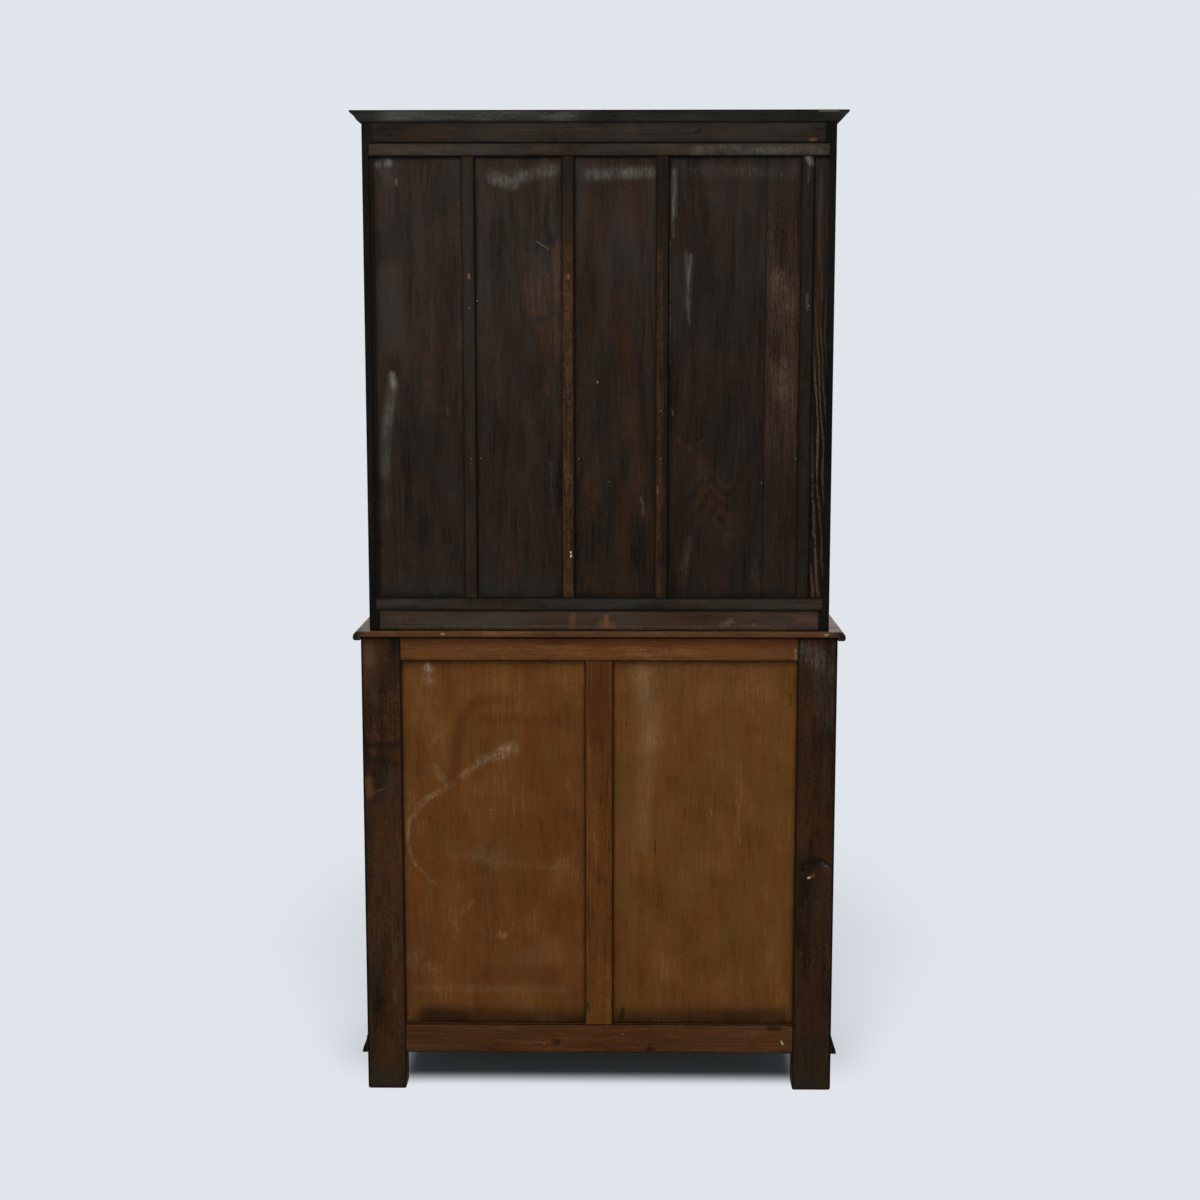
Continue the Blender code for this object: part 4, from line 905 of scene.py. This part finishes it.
def wood_material(node, wood, skin_maker, opening=None):
    """A wood material for a node: the skin from its maker, then figure, specks, marks, painted shade and
    grime, and edges.
    """
    material, graph = new_material(f"wood_{node}")
    low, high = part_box(node)
    skin = skin_maker(graph)
    colour = skin.colour
    on_rear = graph.ramp(graph.axes()[1], *(high.y - depth for depth in REAR_DEPTHS))
    for knot in KNOTS.get(node, ()):
        colour = graph.paint(colour, knot_mask(graph, knot), on_rear, KNOT)
    for arches in ARCHES.get(node, ()):
        colour = graph.paint(colour, graph.times(arch_mask(graph, arches), on_rear), ARCH_SHARE, ORANGE)
    if wood.specks:
        for tone, spacing, radius in SPECKS:
            colour = graph.paint(colour, speck_mask(graph, spacing, radius), wood.specks, tone)
    for nail in NAILS.get(node, ()):
        ring = graph.times(stroke_mask(graph, (nail,), NAIL_HALO), on_rear)
        colour = graph.paint(colour, ring, NAIL_HALO_SHARE, KNOT)
    rows = STROKES.get(node, ())
    if rows:
        cloudy = graph.noise(STROKE_CLOUDS)
        chalky = graph.noise(STROKE_CHALK)
    for row in rows:
        stroke = Stroke(*row)
        mask = graph.times(stroke_mask(graph, stroke.points(), stroke.width * MM), on_rear)
        if stroke.brushed:
            broken = graph.mix_value(stroke.brushed * PERCENT, cloudy, skin.brush)
            mask = graph.times(mask, graph.times(broken, chalky))
        colour = graph.paint(colour, mask, stroke.share * PERCENT, stroke.tone)
    # Painted shade with grime along the joints round the rear face
    if wood.rim:
        face = opening or (low.x, high.x, low.z, high.z)
        shade_and_grime = graph.times(border_shade_and_grime(graph, face, wood.rim, wood.rim_sides), on_rear)
        colour = graph.paint(colour, shade_and_grime, wood.rim_share, SHADE_AND_GRIME)
    # Edges: lighter where worn, or darkened with painted shade where the wood's edge tone is dark
    if wood.edge_share:
        edge = graph.times(edge_mask(graph, EDGE_RADIUS), graph.noise(EDGE_PATCHES))
        colour = graph.paint(colour, edge, wood.edge_share, wood.edge)
    relief = {"Strength": BUMP_STRENGTH, "Distance": BUMP_HEIGHT, "Height": skin.height}
    shader = graph.add("ShaderNodeBsdfPrincipled", {
        "Base Color": colour,
        "Roughness": skin.rough,
        "Normal": graph.add("ShaderNodeBump", relief).outputs[0],
        "Specular IOR Level": wood.shine,
    })
    graph.add("ShaderNodeOutputMaterial", {"Surface": shader.outputs[0]})
    return material


def dress(node, material):
    """Gives a CAD node one material."""
    for slot in NODES[node].material_slots:
        slot.material = material


def node_seed(node):
    """A whole number that stands for the node, from its place in the list of names."""
    return sorted(NODES).index(node) + 1


def dress_plain(node, wood, axis, opening=None):
    """A board whose grain runs one way."""
    def skin(graph):
        return wood_skin(graph, wood, axis, node, node_seed(node))

    dress(node, wood_material(node, wood, skin, opening))


def dress_crossed(node, first, first_axis, second, second_axis, share_maker, opening=None):
    """A piece of two boards: the first where the maker's share is 0, the second where it is 1."""
    def skin(graph):
        one = wood_skin(graph, first, first_axis, node, node_seed(node))
        two = wood_skin(graph, second, second_axis, node, node_seed(node) + SECOND_BOARD_SEED)
        return mix_skins(graph, share_maker(graph, node), one, two)

    dress(node, wood_material(node, first, skin, opening))


def not_rear(graph, node):
    """1 everywhere but on the rear face of a piece."""
    return graph.math("LESS_THAN", graph.axes()[1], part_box(node)[1].y - REAR_SKIN)


def narrow_board(graph, node):
    """1 on the narrow board of the wide panel, less towards its ends."""
    place = graph.axes()
    worn = graph.times(graph.ramp(place[2], *NARROW_FOOT), graph.ramp(place[2], *NARROW_HEAD))
    worn = graph.raised(worn, BOARD_LEAST)
    return graph.times(graph.math("LESS_THAN", place[0], NARROW_BOARD_X), worn)


def bold_low(graph, node):
    """1 on the lower half of the last narrow panel, less above."""
    return graph.raised(graph.ramp(graph.axes()[2], *BOLD_SPAN), BOARD_LEAST)


def top_ends(graph, node):
    """1 at the two rear corners of the base's top, which are darker."""
    place = graph.axes()
    return graph.times(graph.ramp(graph.size(place[0]), *TOP_END_SPAN), graph.ramp(place[1], *TOP_REAR_SPAN))


def moulding_sides(graph, node):
    """1 on the side runs of the base moulding, up to the mitres."""
    place = graph.axes()
    post_low, post_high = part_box("front_post_right")
    past_side = graph.less(graph.size(place[0]), post_high.x)
    return graph.math("GREATER_THAN", past_side, graph.less(post_low.y, place[1]))


def deck_inside(graph, node):
    """1 behind the front edge of the drawer deck."""
    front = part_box("front_post_left")[0].y
    return graph.math("GREATER_THAN", graph.axes()[1], front + DECK_EDGE)


def between_sides(graph, box, inset):
    """1 between the left and right sides of a box, each moved in by the inset."""
    low, high = box
    away = graph.size(graph.less(graph.axes()[0], (low.x + high.x) / 2))
    return graph.math("LESS_THAN", away, (high.x - low.x) / 2 - inset)


def door_rails(graph, node):
    """1 on the rails of a door frame, between its stiles."""
    return between_sides(graph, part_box(node.replace("frame", "panel")), PANEL_LIP)


def drawer_ends(graph, node):
    """1 on the front and back boards and the bottom of a drawer box, 0 on its sides."""
    return between_sides(graph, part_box(node), BOX_SIDE)


def dress_rack():
    """The upper case: dull dark boards behind, finished oak in front."""
    muntins = [f"rack_muntin_{number}" for number in range(1, 5)]
    edges = ["rack_side_right", *muntins, "rack_side_left"]
    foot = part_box("back_frame_bottom_rail")[1].z
    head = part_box("back_frame_top_rail")[0].z
    for number in range(1, 6):
        node = f"rack_panel_{number}"
        opening = (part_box(edges[number])[1].x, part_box(edges[number - 1])[0].x, foot, head)
        if number == 4:
            dress_crossed(node, RACK_BACK, "Z", RACK_BOARD, "Z", narrow_board, opening)
        elif number == 5:
            dress_crossed(node, RACK_BACK, "Z", RACK_BOLD, "Z", bold_low, opening)
        else:
            dress_plain(node, RACK_RED if number == 3 else RACK_BACK, "Z", opening)
    for node in muntins:
        dress_plain(node, RACK_MUNTIN, "Z")
    for level in ("top", "bottom"):
        dress_plain(f"rack_rear_{level}_rail", RACK_RAIL, "X")
        dress_plain(f"back_frame_{level}_rail", RACK_RAIL, "X")
    for node in ("rack_side_left", "rack_side_right"):
        dress_crossed(node, RACK_EDGE, "Z", OAK, "Z", not_rear)
    dress_crossed("cornice_board", RACK_DUSTY, "X", OAK, "X", not_rear)
    for node in ("frieze_rail", "rack_shelf_lower", "rack_shelf_upper"):
        dress_plain(node, OAK, "X")


def dress_base():
    """The base: posts, pine back rails, ply back panels, oak front and sides."""
    for side in ("left", "right"):
        dress_crossed(f"rear_post_{side}", POST, "Z", OAK, "Z", not_rear)
        dress_plain(f"front_post_{side}", OAK, "Z")
        dress_plain(f"side_top_rail_{side}", OAK, "Y")
        dress_plain(f"side_bottom_rail_{side}", OAK, "Y")
        dress_plain(f"side_panel_{side}", OAK, "Z")
    for level in ("top", "bottom"):
        dress_plain(f"back_{level}_rail", PINE, "X")
        dress_plain(f"front_{level}_rail", OAK, "X")
    dress_plain("back_muntin", MUNTIN_PINE, "Z")
    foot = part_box("back_bottom_rail")[1].z
    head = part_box("back_top_rail")[0].z
    left = (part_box("rear_post_left")[1].x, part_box("back_muntin")[0].x)
    right = (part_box("back_muntin")[1].x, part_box("rear_post_right")[0].x)
    dress_plain("back_panel_left", PLY_OLIVE, "Z", (*left, foot, head))
    dress_plain("back_panel_right", PLY, "Z", (*right, foot, head))
    dress_crossed("base_top", TOP, "X", TOP_END, "X", top_ends)
    dress_plain("cupboard_floor", BARE, "X")
    dress_crossed("base_moulding", MOULDING_OAK, "X", MOULDING_OAK, "Y", moulding_sides)
    dress_crossed("drawer_deck", OAK, "X", BARE, "Y", deck_inside)


def dress_moving():
    """The drawers and doors, with their knobs."""
    for side in ("left", "right"):
        dress_plain(f"drawer_front_{side}", OAK, "X")
        dress_plain(f"drawer_knob_{side}", OAK, "Y")
        dress_crossed(f"drawer_box_{side}", BARE, "Y", BARE, "X", drawer_ends)
        dress_crossed(f"door_frame_{side}", OAK, "Z", OAK, "X", door_rails)
        dress_plain(f"door_panel_{side}", OAK, "Z")
        dress_plain(f"door_knob_{side}", OAK, "Y")


def metal_material(name, clean, dull, rough):
    """Aged metal: dull in patches, cleaner on its edges."""
    material, graph = new_material(name)
    patches = graph.times(graph.noise(METAL_PATCHES), METAL_RUBBED)
    rubbed = graph.most(patches, edge_mask(graph, METAL_EDGE))
    shader = graph.add("ShaderNodeBsdfPrincipled", {
        "Base Color": graph.mix(rubbed, srgb(dull), srgb(clean)),
        "Roughness": graph.line(rubbed, -METAL_POLISH, rough),
        "Metallic": 1.0,
    })
    graph.add("ShaderNodeOutputMaterial", {"Surface": shader.outputs[0]})
    return material


def add_object(name, data):
    """A new object in the scene."""
    item = bpy.data.objects.new(name, data)
    bpy.context.scene.collection.objects.link(item)
    return item


def take_mesh(name, mesh):
    """Mesh data with the faces of a bmesh, which is freed."""
    data = bpy.data.meshes.new(name)
    mesh.to_mesh(data)
    mesh.free()
    return data


def add_nail(mesh, x, face, z):
    """A nail head: a shallow closed dome on a rear face."""
    rings = []
    for share in NAIL_RINGS:
        ring = []
        for step in range(NAIL_STEPS):
            angle = math.tau * step / NAIL_STEPS
            across = NAIL_RADIUS * share * math.cos(angle)
            up = NAIL_RADIUS * share * math.sin(angle)
            ring.append(mesh.verts.new((x + across, face + NAIL_RISE * (1 - share ** 2), z + up)))
        rings.append(ring)
    top = mesh.verts.new((x, face + NAIL_RISE, z))
    for step in range(NAIL_STEPS):
        after = (step + 1) % NAIL_STEPS
        for outer, inner in zip(rings, rings[1:]):
            mesh.faces.new((outer[step], inner[step], inner[after], outer[after]))
        mesh.faces.new((rings[-1][step], top, rings[-1][after]))
    mesh.faces.new(rings[0])


def finish_piece(name, mesh, body, material):
    """Turns a bmesh into a piece that rides on a body."""
    bmesh.ops.recalc_face_normals(mesh, faces=mesh.faces)
    data = take_mesh(name, mesh)
    data.materials.append(material)
    piece = add_object(name, data)
    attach(piece, body)


def add_nails(material):
    """The nails through the back into the shelves."""
    mesh = bmesh.new()
    for node, places in NAILS.items():
        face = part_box(node)[1].y
        for x, z in places:
            add_nail(mesh, x, face, z)
    finish_piece("back_nails", mesh, "carcase", material)


def add_screw(mesh, centre, out, turn):
    """A flush slotted screw head, facing along out."""
    spin = Matrix.Rotation(turn, 3, "X")
    half = SLOT_WIDTH / 2
    start = math.asin(half / SCREW_RADIUS)
    for flip in (1, -1):
        outline = []
        for step in range(SCREW_STEPS // 2 + 1):
            angle = start + (math.pi - 2 * start) * step / (SCREW_STEPS // 2)
            outline.append((SCREW_RADIUS * math.cos(angle), flip * SCREW_RADIUS * math.sin(angle)))
        layers = []
        for rise in (0.0, SCREW_RISE):
            layers.append([mesh.verts.new(centre + spin @ Vector((out * rise, y, z))) for y, z in outline])
        count = len(outline)
        for step in range(count):
            after = (step + 1) % count
            mesh.faces.new((layers[0][step], layers[0][after], layers[1][after], layers[1][step]))
        mesh.faces.new(layers[0])
        mesh.faces.new(layers[1])


def add_hinge_screws(material):
    """Three slotted screws in each hinge leaf."""
    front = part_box("front_post_left")[0].y
    for side, label in ((-1, "left"), (1, "right")):
        faces = {
            "hinge_post_leaf": ("carcase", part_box(f"front_post_{label}"), -side),
            "hinge_door_leaf": (f"door_{label}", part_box(f"door_frame_{label}"), side),
        }
        for leaf, (body, box, out) in faces.items():
            x = box[0].x if out < 0 else box[1].x
            mesh = bmesh.new()
            for level in ("lower", "upper"):
                low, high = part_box(f"{leaf}_{label}_{level}")
                heights = (low.z + SCREW_INSET, (low.z + high.z) / 2, high.z - SCREW_INSET)
                for number, z in enumerate(heights):
                    centre = Vector((x, front + LEAF_MIDDLE, z))
                    add_screw(mesh, centre, out, SCREW_TURN + SCREW_NEXT_TURN * number)
            finish_piece(f"{leaf}_screws_{label}", mesh, body, material)


def dress_fittings():
    """Brass hinges with their screws, and the iron nails in the back."""
    brass = metal_material("aged_brass", *BRASS)
    iron = metal_material("worn_iron", *IRON)
    for node in NODES:
        if node.startswith("hinge_"):
            dress(node, brass)
    add_nails(iron)
    add_hinge_screws(brass)


def aim(item, direction):
    """Turns a camera or lamp to look along a direction."""
    item.rotation_euler = direction.to_track_quat("-Z", "Y").to_euler()


def add_camera():
    """The camera at the photo's viewing angle."""
    data = bpy.data.cameras.new("photo_camera")
    data.lens = CAMERA_LENS
    data.sensor_width = SENSOR_WIDTH
    camera = add_object("photo_camera", data)
    camera.location = CAMERA_AT
    aim(camera, Vector(CAMERA_AIM))
    bpy.context.scene.camera = camera


def seen_directly(graph):
    """1 for rays from the camera, a mirror or glass, 0 for light that falls on the object."""
    path = graph.add("ShaderNodeLightPath").outputs
    return graph.most(graph.most(path["Is Camera Ray"], path["Is Glossy Ray"]), path["Is Transmission Ray"])


def add_world():
    """An even pale surround, with softer light from it on the object."""
    world = bpy.data.worlds.new("studio")
    bpy.context.scene.world = world
    world.use_nodes = True
    graph = Graph(world.node_tree)
    white = {"Color": (1.0, 1.0, 1.0, 1.0), "Strength": SKY_LEVEL}
    light = graph.add("ShaderNodeBackground", white).outputs[0]
    shown = graph.add("ShaderNodeBackground", {"Color": srgb(BACKDROP), "Strength": 1.0}).outputs[0]
    both = graph.add("ShaderNodeMixShader", {0: seen_directly(graph), 1: light, 2: shown}).outputs[0]
    graph.add("ShaderNodeOutputWorld", {"Surface": both})


def under_dresser(graph):
    """How far a place on the floor lies outside the core of the shade under the dresser."""
    place = graph.axes()
    past = []
    for axis, half in enumerate(SHADOW_HALF):
        past.append(graph.most(graph.less(graph.size(place[axis]), half), 0.0))
    return graph.length(*past)


def painted_soft_shadow(graph):
    """1 where the painted soft shadow lies beside the dresser, fading out to each side, behind it and further
    in front of it.
    """
    place = graph.axes()
    outer = graph.line(place[1], -SHADOW_SPREAD, SHADOW_OUTER)
    outer = graph.math("MINIMUM", outer, SHADOW_WIDEST)
    side = graph.ramp(graph.size(place[0]), outer, SHADOW_INNER)
    along = graph.times(graph.ramp(place[1], *SHADOW_REAR), graph.ramp(place[1], *SHADOW_FRONT))
    return graph.times(side, along)


def add_floor():
    """A pale floor: near the dresser the camera sees a darker painted tone with its real shadow, and it runs
    out into the backdrop.
    """
    mesh = bmesh.new()
    bmesh.ops.create_circle(mesh, cap_ends=True, segments=FLOOR_STEPS, radius=FLOOR_RADIUS)
    data = take_mesh("floor", mesh)
    floor = add_object("floor", data)
    material, graph = new_material("floor_paint")
    away = under_dresser(graph)
    lit = graph.line(painted_soft_shadow(graph), -SHADOW_KEPT, 1.0)
    shown = seen_directly(graph)
    share = graph.times(graph.times(graph.ramp(away, *SHADOW_NEAR), lit), shown)
    # Painted shade: darker tones for the camera where the floor is shaded; light bounced off it stays pale
    shade = graph.mix(graph.ramp(away, *DEEP_SPAN), srgb(FLOOR_DEEP), srgb(FLOOR_TONE))
    tone = graph.mix(shown, srgb(BACKDROP), shade)
    paint = graph.add("ShaderNodeBsdfDiffuse", {"Color": tone}).outputs[0]
    glow = graph.add("ShaderNodeEmission", {"Color": srgb(BACKDROP), "Strength": 1.0}).outputs[0]
    both = graph.add("ShaderNodeMixShader", {0: share, 1: paint, 2: glow}).outputs[0]
    graph.add("ShaderNodeOutputMaterial", {"Surface": both})
    data.materials.append(material)


def add_lamp(name, place):
    """A large soft lamp."""
    data = bpy.data.lights.new(name, "AREA")
    data.shape = "SQUARE"
    data.size = LAMP_SIZE
    data.energy = LAMP_POWER
    lamp = add_object(name, data)
    lamp.location = place
    aim(lamp, Vector(LAMP_AIM) - Vector(place))


dress_rack()
dress_base()
dress_moving()
dress_fittings()
add_camera()
add_world()
add_floor()
add_lamp("rear_lamp", REAR_LAMP_AT)
add_lamp("front_lamp", FRONT_LAMP_AT)
bpy.context.scene.view_settings.view_transform = "Standard"
